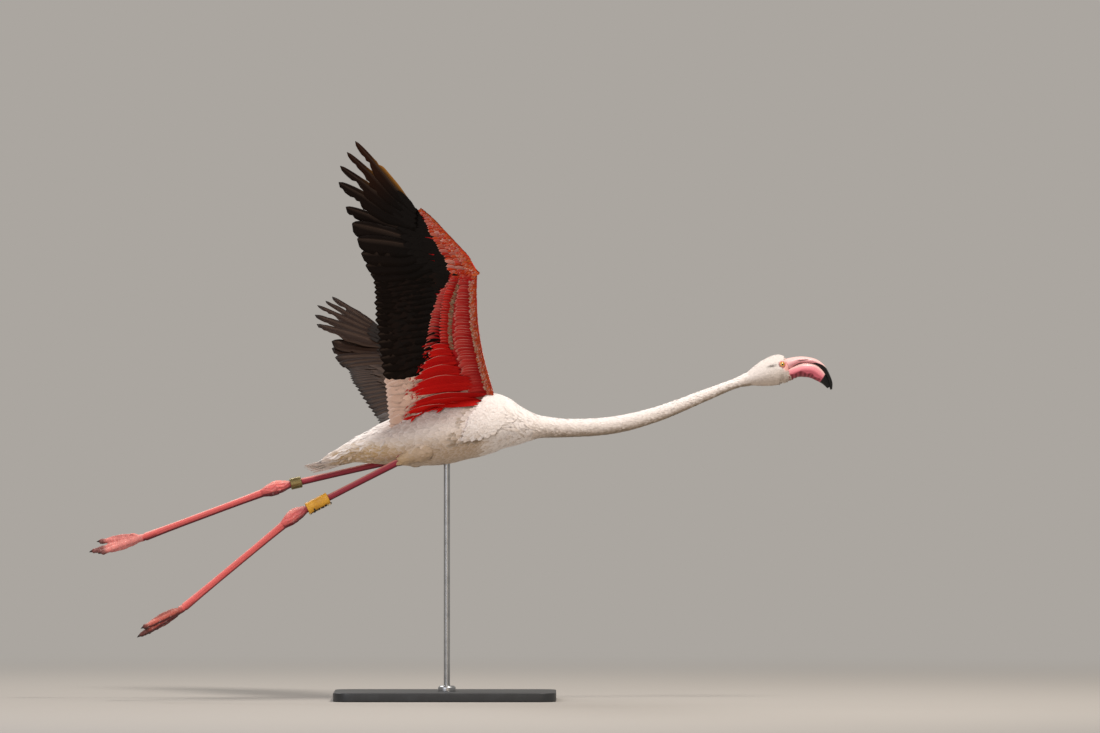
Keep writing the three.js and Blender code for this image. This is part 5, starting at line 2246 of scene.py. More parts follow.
    def _build_tertials(self) -> None:
        """Broad soft tertials; the outermost are dark on the wing that shows its back."""
        bundle = Bundle(f"tertial_feathers_{self.side.value}")
        cut = dict(lead_width=13.0, trail_width=24.0, root_width=0.8, blunt=5.0, splits=4, shaft=1.3)
        for index in range(self.tertials):
            span = mix(-0.13, 0.2, (index + 0.5) / self.tertials)
            middle, lead, normal = self._arm_lines(span, 0.06)
            wave = self.rng.uniform(-1.5, 1.5)
            middle = middle + normal * (wave * np.linspace(0, 1, len(middle))[:, None])
            blush = blush_paint(self.rng.uniform(0.1, 0.5))
            paint = self._flight(0.2) if span > self.shape.pose.black_to else blush
            self._quill(bundle, (middle, lead, normal), 0.02 + 0.09 * index, paint, **cut)
        # Tertials are loose and downy at the edge, so they are matt and their barbs are faint.
        finish = FeatherKeratin("keratin_blush_tertial", roughness=0.75, contrast=0.1).make()
        settle(bundle.build(finish), "tertials", *self._named("tertials"))

    # Coverts ----------

    def _vary(self, colour: Points, amount: float = 0.1) -> Points:
        """The colours, each feather a little apart from its neighbours."""
        return varied(colour, amount, self.rng)

    def _hint(self, base: Points, over: Points, most: float, power: int, least: float = 0.0) -> Points:
        """The colours with a random share of another in each feather.

        Args:
            base: The colours, or one of them.
            over: The other colour.
            most: The greatest share.
            power: How rare large shares are.
            least: The least random number.

        Returns:
            The colours.
        """
        return tint(base, over, most * self.rng.uniform(least, 1.0, len(base)) ** power)

    def _rows(self, rows: Any, start: float, end: float, pitch: float, face: Face, hand: bool = False) -> tuple:
        """Roots in rows along the arm or the hand.

        Args:
            rows: The rows' shares of the chord.
            start: Where they start along the wing.
            end: Where they end.
            pitch: Distance between roots, in millimetres.
            face: Which face of the wing.
            hand: True for the hand.

        Returns:
            The roots' places along and across the wing.
        """
        place = self.shape.hand_face(face) if hand else self.shape.arm_face(face)
        return bricks(place, list(rows), start, end, pitch, self.rng, along_u=True)

    def _tract(
        self, face: Face, u: Points, v: Points, vane: Vane, toward: Any, scale: Any = 1.0, hand: bool = False
    ) -> Tract:
        """Feathers over one face of the arm or the hand, their outer edges turned toward the wing tip.

        Args:
            face: Which face of the wing.
            u: The roots' places along the wing.
            v: Their places across it.
            vane: Their cut.
            toward: The direction of their lie.
            scale: Their size against their cut.
            hand: True for the hand.

        Returns:
            The tract.
        """
        place = self.shape.hand_face(face) if hand else self.shape.arm_face(face)
        turned = face.value * self.side.sign
        unwrap = wing_unwrap(face, 0.5 if hand else 0.02)
        return Tract(place, u, v, vane, toward, turned, scale, 1.0, self.rng, unwrap, -turned)

    def _slats(self, start: float, end: float, pitch: float) -> Points:
        """Spans of an even row of slats, each a little off its mark."""
        length = float(np.linalg.norm(self.shape.wrist - self.shape.root))
        count = int((end - start) * length / pitch)
        return start + (np.arange(count) + 0.5 + self.rng.uniform(-0.12, 0.12, count)) * (end - start) / count

    def _build_under_coverts(self, finish: bpy.types.Material) -> None:
        """The under wing: scales in front, three rows of barred red slats with the ulna between, black behind.

        Args:
            finish: The material.
        """
        bundle = Bundle(f"coverts_under_{self.side.value}")
        face = Face.UNDER
        self._lay_greater(bundle, face)
        rows = (
            (lambda u: 0.026 + 0 * u, lambda u: mix(58.0, 36.0, ease(u, 0.35, 1.0)), -0.02, 1.0, 0.3, MARKS.CRIMSON),
            (lambda u: MARKS.ulna(u) + 0.012, lambda u: 25.0, 0.32, 1.0, 0.22, MARKS.SCARLET),
            (lambda u: MARKS.black_from(u) - 0.105, lambda u: 31.0, 0.34, 0.93, 0.5, MARKS.CRIMSON),
        )
        for root_at, length, start, end, pink, colour in rows:
            u = self._slats(start, end, 8.4)
            base = np.tile(colour, (len(u), 1))
            tip = self._hint(base, MARKS.PINK, pink * 0.5, 1, 0.3)
            rim = self._hint(base, MARKS.PALE_PINK, mix(0.15, 0.6, ease(u, 0.05, 0.3)), 1, 0.4)
            tract = self._tract(face, u, root_at(u), self.slat, QUARTER - 0.04, length(u) / self.slat.length)
            tract.lay(bundle, self._vary(base * 0.6, 0.06), self._vary(tip, 0.05), rim, 0.2)
        self._lay_ulna(bundle, face)
        self._lay_front(bundle, face)
        self._lay_hand(bundle, face)
        self._lay_wrist(bundle, face)
        settle(bundle.build(finish), "wing_coverts")

    def _lay_ulna(self, bundle: Bundle, face: Face) -> None:
        """The fawn line of small feathers over the ulna; their dark fawn is partly painted shadow in the gap between
        two rows of coverts.

        Args:
            bundle: What they are gathered in.
            face: Which face of the wing.
        """
        u, v = self._rows((0.0, 0.5, 1.0), 0.36, 1.0, 5.0, face)
        v = MARKS.ulna(u) + 0.02 * (v - 0.5)
        # Dark fawn to sand: partly the small feathers' own colour, partly painted shadow in the gap between the rows.
        base = tint(MARKS.FAWN * 0.5, MARKS.SAND, self.rng.uniform(0, 1, len(u)))
        base = self._hint(base, MARKS.CRIMSON, 0.6, 2)
        self._tract(face, u, v, self.marginal, QUARTER - 0.6, 0.6).lay(bundle, base * 0.7, self._vary(base), None, 0.4)

    def _lay_front(self, bundle: Bundle, face: Face) -> None:
        """The scales of the arm's front edge, from orange to amber, some fawn and some crimson; the orange is partly
        their own colour and partly painted sunlight shining through the edge.

        Args:
            bundle: What they are gathered in.
            face: Which face of the wing.
        """
        u, v = self._rows(np.arange(0.031, 0.003, -0.009), -0.1, 1.0, 4.8, face)
        v = np.maximum(v, 0.003)
        # Orange: partly the scales' own colour, partly painted sunlight shining through the thin front edge.
        base = tint(MARKS.ORANGE, MARKS.AMBER, self.rng.uniform(0, 1, len(u)) * ease(v, 0.01, 0.05))
        base = self._hint(base, MARKS.FAWN * 0.9, 0.9 * ease(v, 0.008, 0.03), 1)
        base = self._hint(base, MARKS.CRIMSON, 0.8, 3)
        tip = self._hint(base, MARKS.CREAM, 0.6, 2)
        self._tract(face, u, v, self.marginal, QUARTER - 0.12).lay(bundle, self._vary(base * 0.75), tip, None, 0.5)

    def _build_upper_coverts(self, finish: bpy.types.Material) -> None:
        """The upper wing: rows of rose coverts, paler toward the body.

        Args:
            finish: The material.
        """
        bundle = Bundle(f"coverts_upper_{self.side.value}")
        face = Face.UPPER
        self._lay_greater(bundle, face)
        kinds = (
            (self.median, np.arange(0.46, 0.2, -0.045), 10.0, -0.13),
            (self.lesser, np.arange(0.24, 0.07, -0.03), 7.6, -0.1),
            (self.marginal, np.arange(0.09, 0.004, -0.021), 5.4, -0.04),
        )
        for vane, rows, pitch, start in kinds:
            u, v = self._rows(rows, start, 1.0, pitch, face)
            v = np.maximum(v, 0.003)
            base = MARKS.upper_wing(u, v)
            tip = self._hint(base, MARKS.PALE_PINK, 0.5 * ease(u, 0.25, 0.5), 1, 0.4)
            tract = self._tract(face, u, v, vane, QUARTER - 0.12)
            tract.lay(bundle, self._vary(base * 0.85), self._vary(tip), mix(tip, MARKS.WHITE, 0.2), 0.55)
        self._lay_hand(bundle, face)
        settle(bundle.build(finish), "wing_coverts")

    def _lay_greater(self, bundle: Bundle, face: Face) -> None:
        """Rows of greater coverts over the roots of the secondaries; black below, pale near the body.

        Args:
            bundle: What they are gathered in.
            face: Which face of the wing.
        """
        black_to = self.shape.pose.black_to
        for row, scale in ((0.6, 0.9), (0.5, 1.0), (0.42, 1.0), (0.35, 0.85), (0.27, 0.6)):
            foremost = row < 0.3
            u, v = self._rows((row,), -0.12, 1.0, 5.5 if foremost else 11.0, face)
            if face is Face.UNDER:
                pale = u < 0.2
                keep = pale & (row > 0.4) | (v > MARKS.black_from(u) - (0.03 if foremost else 0.14))
                colour = np.where(pale[:, None], MARKS.BISQUE, MARKS.BLACK)
                tip = np.where(pale[:, None], MARKS.PALE_PINK, mix(MARKS.BLACK, MARKS.UMBER, 0.3))
            else:
                keep = np.full(len(u), row < 0.55)
                dark = (row > 0.4) * ease(u, black_to - 0.03, black_to + 0.03)
                colour = tint(MARKS.upper_wing(u, v), MARKS.DUSK, dark)
                tip = tint(tint(colour, MARKS.WHITE, 0.3 - 0.3 * dark), MARKS.ASH, 0.2 * dark)
            if not keep.any():
                continue
            tract = self._tract(face, u[keep], v[keep], self.greater, QUARTER - 0.05, scale)
            tract.lay(bundle, self._vary(colour[keep]), self._vary(tip[keep]), None, 0.6)

    def _lay_hand(self, bundle: Bundle, face: Face) -> None:
        """Coverts of the hand, from long primary coverts to the scales of its front edge.

        Args:
            bundle: What they are gathered in.
            face: Which face of the wing.
        """
        under = face is Face.UNDER
        colour = (MARKS.BLACK if under else mix(MARKS.SLATE, MARKS.BLACK, 0.3))[None]
        self._lay_primary_coverts(bundle, face, colour)
        slant = lambda reach: QUARTER - mix(0.25, 0.6, ease(reach, 0.0, 0.45))
        for row in (0.72, 0.46):
            u, v = self._rows((row,), -0.03, 0.45, 9.0, face, hand=True)
            tone = np.broadcast_to(colour, (len(u), 3))
            tract = self._tract(face, u, v, self.greater, slant(u), 0.62, hand=True)
            tract.lay(bundle, tone, self._vary(tone * 1.1), None, 0.5)
        for tip_at, length in ((1.0, 27.0), (0.68, 23.0), (0.42, 19.0)):
            u, v = self._rows((0.5,), -0.02, 0.43, 7.0, face, hand=True)
            wide = np.linalg.norm(self.shape.hand(u, np.ones(len(u))) - self.shape.hand(u, 0 * u), axis=-1)
            scale = length / self.slat.length * mix(1.0, 0.75, ease(u, 0.25, 0.45))
            v = np.maximum(tip_at * MARKS.hand_black_from(u) - 0.9 * scale * self.slat.length / wide, 0.03)
            base = tint(MARKS.ORANGE, MARKS.RUST, self.rng.uniform(0.2, 1.0, len(u)))
            base = self._hint(base, MARKS.CRIMSON, 0.8, 2)
            base = self._hint(base, MARKS.CREAM, 0.45, 4)
            base = base if under else tint(MARKS.CRIMSON, MARKS.PINK, ease(v, 0.4, 1.0))
            rim = tint(base, MARKS.PALE_PINK, self.rng.uniform(0.2, 0.8, len(u)))
            tract = self._tract(face, u, v, self.slat, slant(u), scale, hand=True)
            tract.lay(bundle, self._vary(base * 0.65), self._vary(base), rim, 0.2)
        u, v = self._rows(np.arange(0.14, 0.01, -0.042), -0.03, 0.46, 4.8, face, hand=True)
        v = np.maximum(v, 0.01)
        base = tint(MARKS.ORANGE, MARKS.AMBER, self.rng.uniform(0, 0.8, len(u)))
        base = self._hint(base, MARKS.CRIMSON, 0.7, 2)
        tip = self._hint(base, MARKS.CREAM, 0.6, 2)
        tract = self._tract(face, u, v, self.marginal, slant(u), mix(1.0, 0.7, ease(u, 0.25, 0.45)), hand=True)
        tract.lay(bundle, self._vary(base * 0.85), self._vary(tip), None, 0.6)

    def _lay_primary_coverts(self, bundle: Bundle, face: Face, colour: Points) -> None:
        """Two long coverts over the root of each primary, along its own shaft.

        Args:
            bundle: What they are gathered in.
            face: Which face of the wing.
            colour: Their colour, as one row.
        """
        vane = self.greater
        steps = self.shape.SHAFT_ROWS
        for index, (middle, _, normal) in enumerate(self.primary_lines):
            away = normal[0] * face.value
            size = np.array([0.9 if index < self.inner_primaries else 0.8])
            bake = wing_unwrap(face, 0.5)(np.array([0.1 * index]), np.array([0.8]))
            for end, start, offset in ((0.3, 0.0, 2.2), (0.2, -0.02, 3.0)):
                take = np.linspace(start, end, vane.rows) * (steps - 1)
                line = np.stack([np.interp(take, np.arange(steps), middle[:, k]) for k in range(3)], -1)
                line = line + away * (offset + np.linspace(0, 1.0, vane.rows))[:, None]
                shafts = Shafts(line[None], np.broadcast_to(away, line.shape)[None], size, bake)
                lay_vanes(bundle, vane, shafts, Tints(colour, colour * 1.1, None, 0.5), self.rng)

    def _lay_wrist(self, bundle: Bundle, face: Face) -> None:
        """Mixed short coverts that carry the rows of the arm over the bend into those of the hand.

        Args:
            bundle: What they are gathered in.
            face: Which face of the wing.
        """
        count = 90
        u = 1.0 - 0.075 * self.rng.random(count) ** 1.5
        v = self.rng.uniform(0.015, 0.2, count)
        base = tint(MARKS.CRIMSON, MARKS.ORANGE, ease(u, 0.93, 1.0) * self.rng.random(count))
        tip = self._hint(base, MARKS.PINK, 0.4, 2)
        toward = QUARTER - 0.1 + self.rng.normal(0, 0.12, count)
        tract = self._tract(face, u, v, self.marginal, toward, self.rng.uniform(0.9, 1.5, count))
        tract.lift = 2.0
        tract.lay(bundle, self._vary(base * 0.7), self._vary(tip), None, 0.3)

    # Axillaries ----------

    def _build_axillaries(self, finish: bpy.types.Material) -> None:
        """Broad crimson axillaries in ordered tiers under the root of the wing, frayed at their ends.

        Args:
            finish: The material.
        """
        bundle = Bundle(f"axillaries_{self.side.value}")
        tiers = (
            ((0.385, 0.32), (0.375, 0.53), 2, 19.0, 0.05),
            ((0.345, 0.3), (0.33, 0.57), 2, 22.0, 0.05),
            ((0.29, 0.28), (0.255, 0.66), 3, 24.0, 0.06),
            ((0.205, 0.26), (0.185, 0.73), 3, 28.0, 0.08),
            ((0.12, 0.18), (0.105, 0.79), 3, 30.0, 0.08),
            ((0.075, 0.2), (0.07, 0.8), 2, 20.0, 0.05),
            ((-0.01, 0.08), (-0.015, 0.88), 2, 27.0, 0.06),
            ((-0.06, 0.3), (-0.07, 0.92), 2, 26.0, 0.06),
            ((-0.1, 0.05), (-0.12, 0.78), 2, 26.0, 0.05),
        )
        for root, tip, count, width, depth in tiers:
            self._lay_tier(bundle, root, tip, count, width, depth)
        self._lay_apron(bundle)
        count = 46
        u = self.rng.uniform(-0.08, 0.16, count)
        v = self.rng.uniform(0.06, 0.2, count)
        base = tint(MARKS.CRIMSON, MARKS.SAND, 0.8 * self.rng.random(count))
        tip = self._hint(base, MARKS.CREAM, 0.5, 1)
        tract = self._tract(Face.UNDER, u, v, self.median, QUARTER + self.rng.normal(0, 0.25, count))
        tract.lay(bundle, self._vary(base * 0.8), self._vary(tip), None, 0.4)
        settle(bundle.build(finish), "wing_coverts")

    def _lay_broad(
        self, bundle: Bundle, middle: Points, normal: Points, width: float, pale: float, bake: Points, outer: int
    ) -> Points:
        """Adds one broad axillary with a pale rim.

        Args:
            bundle: What it is gathered in.
            middle: Its shaft.
            normal: The normals along it.
            width: Its width.
            pale: How pale its rim is.
            bake: Its root's place on the bake map, as one row.
            outer: The edge that it turns up.

        Returns:
            Its colour, as one row.
        """
        base = self._vary(tint(MARKS.CRIMSON, MARKS.SCARLET, self.rng.uniform(0, 1, 1)), 0.05)
        shafts = Shafts(middle[None], normal[None], np.array([width / self.axillary.width]), bake, outer)
        tints = Tints(base * 0.75, base, mix(base, MARKS.PALE_PINK, pale), 0.1)
        lay_vanes(bundle, self.axillary, shafts, tints, self.rng)
        return base

    def _lay_apron(self, bundle: Bundle) -> None:
        """The lowest axillaries: long feathers that leave the arm's root and hang over the flank, frayed behind.

        Args:
            bundle: What they are gathered in.
        """
        sign, count, tufts = self.side.sign, 5, 26
        share = np.linspace(0, 1, self.axillary.rows)
        marks = (0, 0.4, 0.7, 1)
        for index in range(count):
            row = index * 3 / (count - 1)
            drop = row + self.rng.uniform(-0.1, 0.1)
            x = np.interp(share, marks, (14 - 6 * row, -64, -124, -186 + 14 * row))
            z = np.interp(share, marks, (64 - 7.5 * drop, 58 - 7 * drop, 48 - 7 * drop, 36 - 8 * drop))
            u, v = on_flank(x, z + 3 * np.sin(math.pi * share))
            place = lambda s, a, row=row: FLIGHT.body(under_back(SPINE.own(s, a, 3.4 + 0.8 * row)))
            middle = place(u, sign * v)
            normal = np.cross(place(u + NUDGE, sign * v) - middle, place(u, sign * v + NUDGE) - middle)
            bake = spine_unwrap(u[:1], sign * v[:1])
            base = self._lay_broad(bundle, middle, unit(normal), 19.0, 0.75, bake, sign)
            spots = self.rng.uniform(0.4, 0.99, tufts)
            ends_u = np.interp(spots, share, u)
            ends_v = sign * (np.interp(spots, share, v) + self.rng.uniform(0.0, 0.12, tufts))
            toward = math.pi - sign * self.rng.uniform(0.1, 0.7, tufts)
            sizes = self.rng.uniform(0.7, 1.6, tufts)
            frays = Tract(place, ends_u, ends_v, self.fray, toward, 1, sizes, 1.5, self.rng, spine_unwrap)
            frays.lay(bundle, np.repeat(base, tufts, 0), np.repeat(base, tufts, 0) * 0.9)

    def _lay_tier(
        self, bundle: Bundle, root: tuple[float, float], tip: tuple[float, float], count: int, width: float, depth: float
    ) -> None:
        """A few broad feathers side by side; only the outermost shows its pale edge.

        Args:
            bundle: What they are gathered in.
            root: Span and chord of the roots' middle.
            tip: Span and chord of the tips' middle.
            count: How many feathers there are.
            width: Width of each.
            depth: How much of the span they take up.
        """
        place = self.shape.arm_face(Face.UNDER)
        turned = Face.UNDER.value * self.side.sign
        share = np.linspace(0, 1, self.axillary.rows)
        tufts = 5
        for index in range(count):
            off = (0.5 - (index + 0.5) / count) * depth
            reach = 1.0 - 0.08 * self.rng.random() - 0.05 * abs(2 * index - count + 1)
            end_u, end_v = mix(spot(*root), spot(*tip), reach)
            u, v = mix(root[0], end_u, share) + off, mix(root[1], end_v, share)
            middle = place(u, v)
            normal = unit(np.cross(place(u + NUDGE, v) - middle, place(u, v + NUDGE) - middle)) * turned
            height = 1.6 + (2.6 + 0.9 * (count - index)) * np.sin(math.pi * np.clip(0.15 + 0.7 * share, 0, 1))
            middle = FLIGHT.body(under_back(FLIGHT.own(middle + normal * height[:, None])))
            bake = wing_unwrap(Face.UNDER, 0.02)(u[:1], v[:1])
            base = self._lay_broad(bundle, middle, normal, width, 0.8 if index == 0 else 0.15, bake, -turned)
            spots = self.rng.uniform(0.82, 0.98, tufts)
            ends_u = np.interp(spots, share, u) + self.rng.uniform(-0.03, 0.02, tufts)
            sizes = self.rng.uniform(0.6, 1.3, tufts)
            frays = self._tract(Face.UNDER, ends_u, np.interp(spots, share, v), self.fray, QUARTER + 0.35, sizes)
            frays.lift = 5.0
            frays.lay(bundle, np.repeat(base, tufts, 0), np.repeat(base, tufts, 0) * 0.9)


# ---------- bill, eyes, claws ----------


@dataclass
class Bill:
    """The bent bill: a thin upper half that lies in a deep lower one."""

    rows: int = 110
    sides: int = 64
    upper: tuple[Station, ...] = (
        Station(693, 133.6, 12.9, 15.5),
        Station(698, 136.1, 11.9, 15.5),
        Station(719, 143.1, 7.8, 13),
        Station(740, 143.1, 6.6, 12),
        Station(758, 139.1, 5.6, 11.5),
        Station(773, 128.2, 5.2, 10.5),
        Station(783.8, 110, 5.1, 8.5),
        Station(791, 92, 4.4, 6),
        Station(793, 77, 1.8, 2.5),
    )
    lower: tuple[Station, ...] = (
        Station(693, 109.8, 13.8, 15.5),
        Station(698, 111.3, 13.8, 15.5),
        Station(713, 117.3, 13.3, 16),
        Station(733, 121.1, 16.3, 15.5),
        Station(751.3, 118.3, 16.3, 14.5),
        Station(766.6, 108, 13.6, 12.5),
        Station(778.2, 96.4, 9, 9),
        Station(787, 81.5, 3.4, 3.8),
    )
    rose: str = "#EDB4B6"
    deep_rose: str = "#D36574"
    horn_black: str = "#070505"
    gape: str = "#5A0A14"

    def build(self) -> None:
        """Builds both halves."""
        # Horn is smooth and slightly waxy, with growth lines that catch the light across the bill.
        finish = Horn("keratin_horn_bill").make()
        self._build_half("bill_upper_horn", self.upper, True, finish)
        self._build_half("bill_lower_horn", self.lower, False, finish)

    def _build_half(
        self, name: str, stations: Sequence[Station], upper: bool, finish: bpy.types.Material
    ) -> None:
        """One half as a closed horn with its groove, comb edge and colours.

        Args:
            name: The piece's name.
            stations: Its sections.
            upper: True for the upper half.
            finish: The material.
        """
        loft = Loft(stations)
        share, turn = np.meshgrid(
            np.linspace(0, 1, self.rows), np.linspace(-math.pi, math.pi, self.sides, endpoint=False), indexing="ij"
        )
        low = -np.cos(turn)
        grow = self._upper_relief(share, turn, loft) if upper else self._lower_relief(share, turn)
        own = loft.own(share, turn)
        middle = loft.middles.at(share)
        out = unit(own - middle)
        own = own + out * grow[..., None]
        colours = self._upper_colour(own, share, low) if upper else self._lower_colour(own, share, low)
        faces = grid_faces(self.rows, self.sides, closed=True)
        points = FLIGHT.body(own).reshape(-1, 3)
        end = points[-self.sides :].mean(0)
        start = points[: self.sides].mean(0)
        count = len(points)
        rim = np.arange(self.sides)
        cap = fan(count - self.sides + rim, count)
        base = fan(rim, count + 1, flip=True)
        tip_colour = colours.reshape(-1, 3)[-1:]
        bundle = Bundle(name)
        bundle.add(
            np.vstack([points, end, start]),
            np.concatenate([faces, cap, base]),
            np.vstack([colours.reshape(-1, 3), tip_colour, colours.reshape(-1, 3)[:1]]),
            np.vstack([np.stack([share, turn / (2 * math.pi) + 0.5], -1).reshape(-1, 2), [[1, 0.5], [0, 0.5]]]),
        )
        slot = "bill_upper" if upper else "bill_lower"
        settle(bundle.build(finish), slot, slot)

    @staticmethod
    def _groove(own: Points, width: float, start: tuple[float, float], end: tuple[float, float]) -> Points:
        """How deep in the long groove of the upper half a point lies.

        Args:
            own: Points of the bird's own frame.
            width: The groove's width in millimetres.
            start: Where it opens along the bill.
            end: Where it closes again.

        Returns:
            Its depth from 0 to 1.
        """
        height = own[..., 2] - 141.5 - 0.12 * (own[..., 0] - 719)
        return hill(height, 0, width) * ease(own[..., 0], *start) * ease(own[..., 0], *end)

    def _upper_relief(self, share: Points, turn: Points, loft: Loft) -> Points:
        """A slit nostril in a long groove, a low culmen ridge and a comb along the edge."""
        own = loft.own(share, turn)
        side = ease(np.abs(np.sin(turn)), 0.5, 0.8)
        slit = self._groove(own, 1.0, (715, 718), (741, 737))
        trough = self._groove(own, 2.6, (706, 716), (752, 740))
        ridge = 0.5 * hill(turn, 0, 0.35) * ease(share, 0.1, 0.3)
        edge = ease(-np.cos(turn), 0.55, 0.75) * ease(-np.cos(turn), 1.0, 0.85)
        comb = 0.22 * np.sin(share * 420) * edge * ease(share, 0.15, 0.25) * ease(share, 0.95, 0.85)
        close = 0.5 * ease(-np.cos(turn), 0.3, 0.95)
        return ridge + comb + close - side * (1.3 * slit + 0.6 * trough)

    def _lower_relief(self, share: Points, turn: Points) -> Points:
        """Side ridges of the lower half, folds of skin at its root and a comb along its rim."""
        low = -np.cos(turn)
        ramus = 0.7 * hill(low, -0.1, 0.25) * ease(share, 0.2, 0.4) * ease(share, 0.95, 0.8)
        hollow = 0.9 * hill(low, 0.35, 0.2) * ease(share, 0.1, 0.3) * ease(share, 0.9, 0.6)
        fold = 0.9 * np.sin(share * 75 + 2 * low) * hill(share, 0.17, 0.11) * ease(low, 0.2, 0.7)
        rim = ease(-low, 0.5, 0.7) * ease(-low, 1.0, 0.9)
        comb = 0.2 * np.sin(share * 400) * rim * ease(share, 0.2, 0.3)
        close = 1.0 * ease(-low, 0.3, 0.95)
        return ramus - hollow + fold + comb + close

    def _upper_colour(self, own: Points, share: Points, low: Points) -> Points:
        """Pale rose, paler on top as a painted highlight, with black along the edge that widens to a black tip."""
        # Painted highlight: blush along the top of the upper half.
        colour = tint(linear(self.rose), MARKS.BLUSH, 0.5 * ease(-low, 0.0, 0.9))
        colour = tint(colour, linear(self.deep_rose), 0.35 * ease(low, -0.2, 0.5) * ease(share, 0.0, 0.2))
        start = np.minimum(0.8, 1.15 - 8 * (share - 0.40))
        black = ease(low - start, -0.06, 0.06) * ease(share, 0.12, 0.17)
        black = np.maximum(black, 0.85 * self._groove(own, 0.9, (716, 719), (740, 737)))
        return tint(colour, linear(self.horn_black), black)

    def _lower_colour(self, own: Points, share: Points, low: Points) -> Points:
        """Deep rose with dark red folds at the root, a painted highlight along the upper rim and a black tip."""
        colour = tint(linear(self.deep_rose), linear(self.rose), 0.45 * ease(-low, -0.3, 0.6))
        start = 0.12 + 0.12 * np.sin(share * 31) + 0.36 * ease(share, 0.25, 0.6)
        fold = ease(share, 0.02, 0.08) * (1 - ease(share, 0.72, 0.85)) * ease(low - start, -0.1, 0.12)
        crease = 0.82 + 0.18 * np.sin(share * 75 + 2 * low)
        colour = tint(colour, linear(self.gape), 0.92 * fold * crease)
        # Painted highlight: a pale blush along the upper rim, under the dark line of the mouth.
        rim = ease(-low, 0.5, 0.75) * ease(share, 0.05, 0.2)
        colour = tint(colour, MARKS.BLUSH, 0.55 * rim)
        past = own[..., 0] - 768 - 0.636 * (own[..., 2] - 95.4)
        return tint(colour, linear(self.horn_black), ease(past, -1.2, 1.2))


@dataclass
class Eyes:
    """Golden eyes in rings of bare pink lid."""

    rows: int = 36
    sides: int = 48
    pupil: float = 17.0  # degrees from the eye's axis
    iris: float = 40.0
    iris_gold: str = "#F0B93A"
    iris_rim: str = "#9A5A1E"
    lid: str = "#D98C84"
    lid_dark: str = "#5B2A28"

    def build(self) -> None:
        """Builds both eyes and their lids."""
        # Glass gives the eye its depth and its small bright highlight.
        glass = GlassEye("glass_eye_gold").make()
        # Painted resin looks like moist bare skin, smoother than the legs.
        skin = BareSkin("painted_resin_eyelid", roughness=0.4, grain=0.5, relief=0.06).make()
        for side in Side:
            self._build_ball(side, glass)
            self._build_lid(side, skin)

    def _axes(self, side: Side) -> tuple[Points, Points, Points]:
        """The eye's axis, its forward and its upward directions in the bird's own frame."""
        axis = unit(spot(0.16, side.sign, 0.06))
        ahead = unit(spot(1, 0, 0) - axis * axis[0])
        return axis, ahead, unit(np.cross(axis, ahead)) * side.sign * -1

    def _build_ball(self, side: Side, finish: bpy.types.Material) -> None:
        """The eyeball, with pupil, iris and a raised clear front."""
        axis, ahead, up = self._axes(side)
        polar, turn = np.meshgrid(
            np.linspace(0.001, math.pi - 0.001, self.rows),
            np.linspace(0, 2 * math.pi, self.sides, endpoint=False),
            indexing="ij",
        )
        degrees = np.degrees(polar)
        bulge = EYE.radius + 0.35 * ease(degrees, 46, 20)
        ring = ring_of(ahead, up, turn)
        out = axis * np.cos(polar)[..., None] + ring * np.sin(polar)[..., None]
        points = EYE.centre(side) + bulge[..., None] * out
        rays = 0.5 + 0.5 * np.sin(turn * 23 + 2 * np.sin(turn * 7))
        colour = tint(linear(self.iris_gold), linear(self.iris_rim), 0.25 * rays * ease(degrees, 18, 30))
        colour = tint(colour, linear(self.iris_rim), 0.9 * ease(degrees, self.iris - 6, self.iris))
        colour = tint(colour, MARKS.BLACK * 0.6, 1 - ease(degrees, self.pupil - 1.2, self.pupil + 1.2))
        bundle = Bundle(f"eyeball_{side.value}")
        bundle.add(FLIGHT.body(points), grid_faces(self.rows, self.sides, closed=True), colour)
        settle(bundle.build(finish), "eye", f"eye_{side.value}")

    def _build_lid(self, side: Side, finish: bpy.types.Material) -> None:
        """Two lids as one ring that hugs the ball: a dark wet rim, a fold and a skirt into the skin.

        Args:
            side: The side of the head.
            finish: The material.
        """
        axis, ahead, up = self._axes(side)
        rows, sides = 24, 72
        row, turn = np.meshgrid(np.linspace(0, 1, rows), np.arange(sides) * 2 * math.pi / sides, indexing="ij")
        heavy = ease(np.sin(turn), -0.2, 0.9)
        reach = mix(4.9, 8.8, row) + 0.25 * np.cos(2 * turn) * (1 - row)
        ball = np.sqrt(np.maximum((EYE.radius + 0.4) ** 2 - reach**2, 0.0))
        fold = (0.45 + 0.35 * heavy) * hill(reach, 5.7, 0.42)
        fine = 0.1 * np.sin(reach * 9 + heavy) * ease(reach, 6.2, 6.8)
        depth = ball + fold + fine - 1.0 * (1 - ease(row, 0.0, 0.1))
        ring = ring_of(ahead, up, turn)
        points = EYE.centre(side) + axis * depth[..., None] + ring * reach[..., None]
        colour = tint(linear(self.lid), linear(self.lid_dark), 0.9 * ease(row, 0.14, 0.04))
        colour = tint(colour, MARKS.LORE, ease(row, 0.3, 0.5))
        bundle = Bundle(f"eyelid_{side.value}")
        bundle.add(FLIGHT.body(points), grid_faces(rows, sides, closed=True), colour)
        settle(bundle.build(finish), "leg_skin")


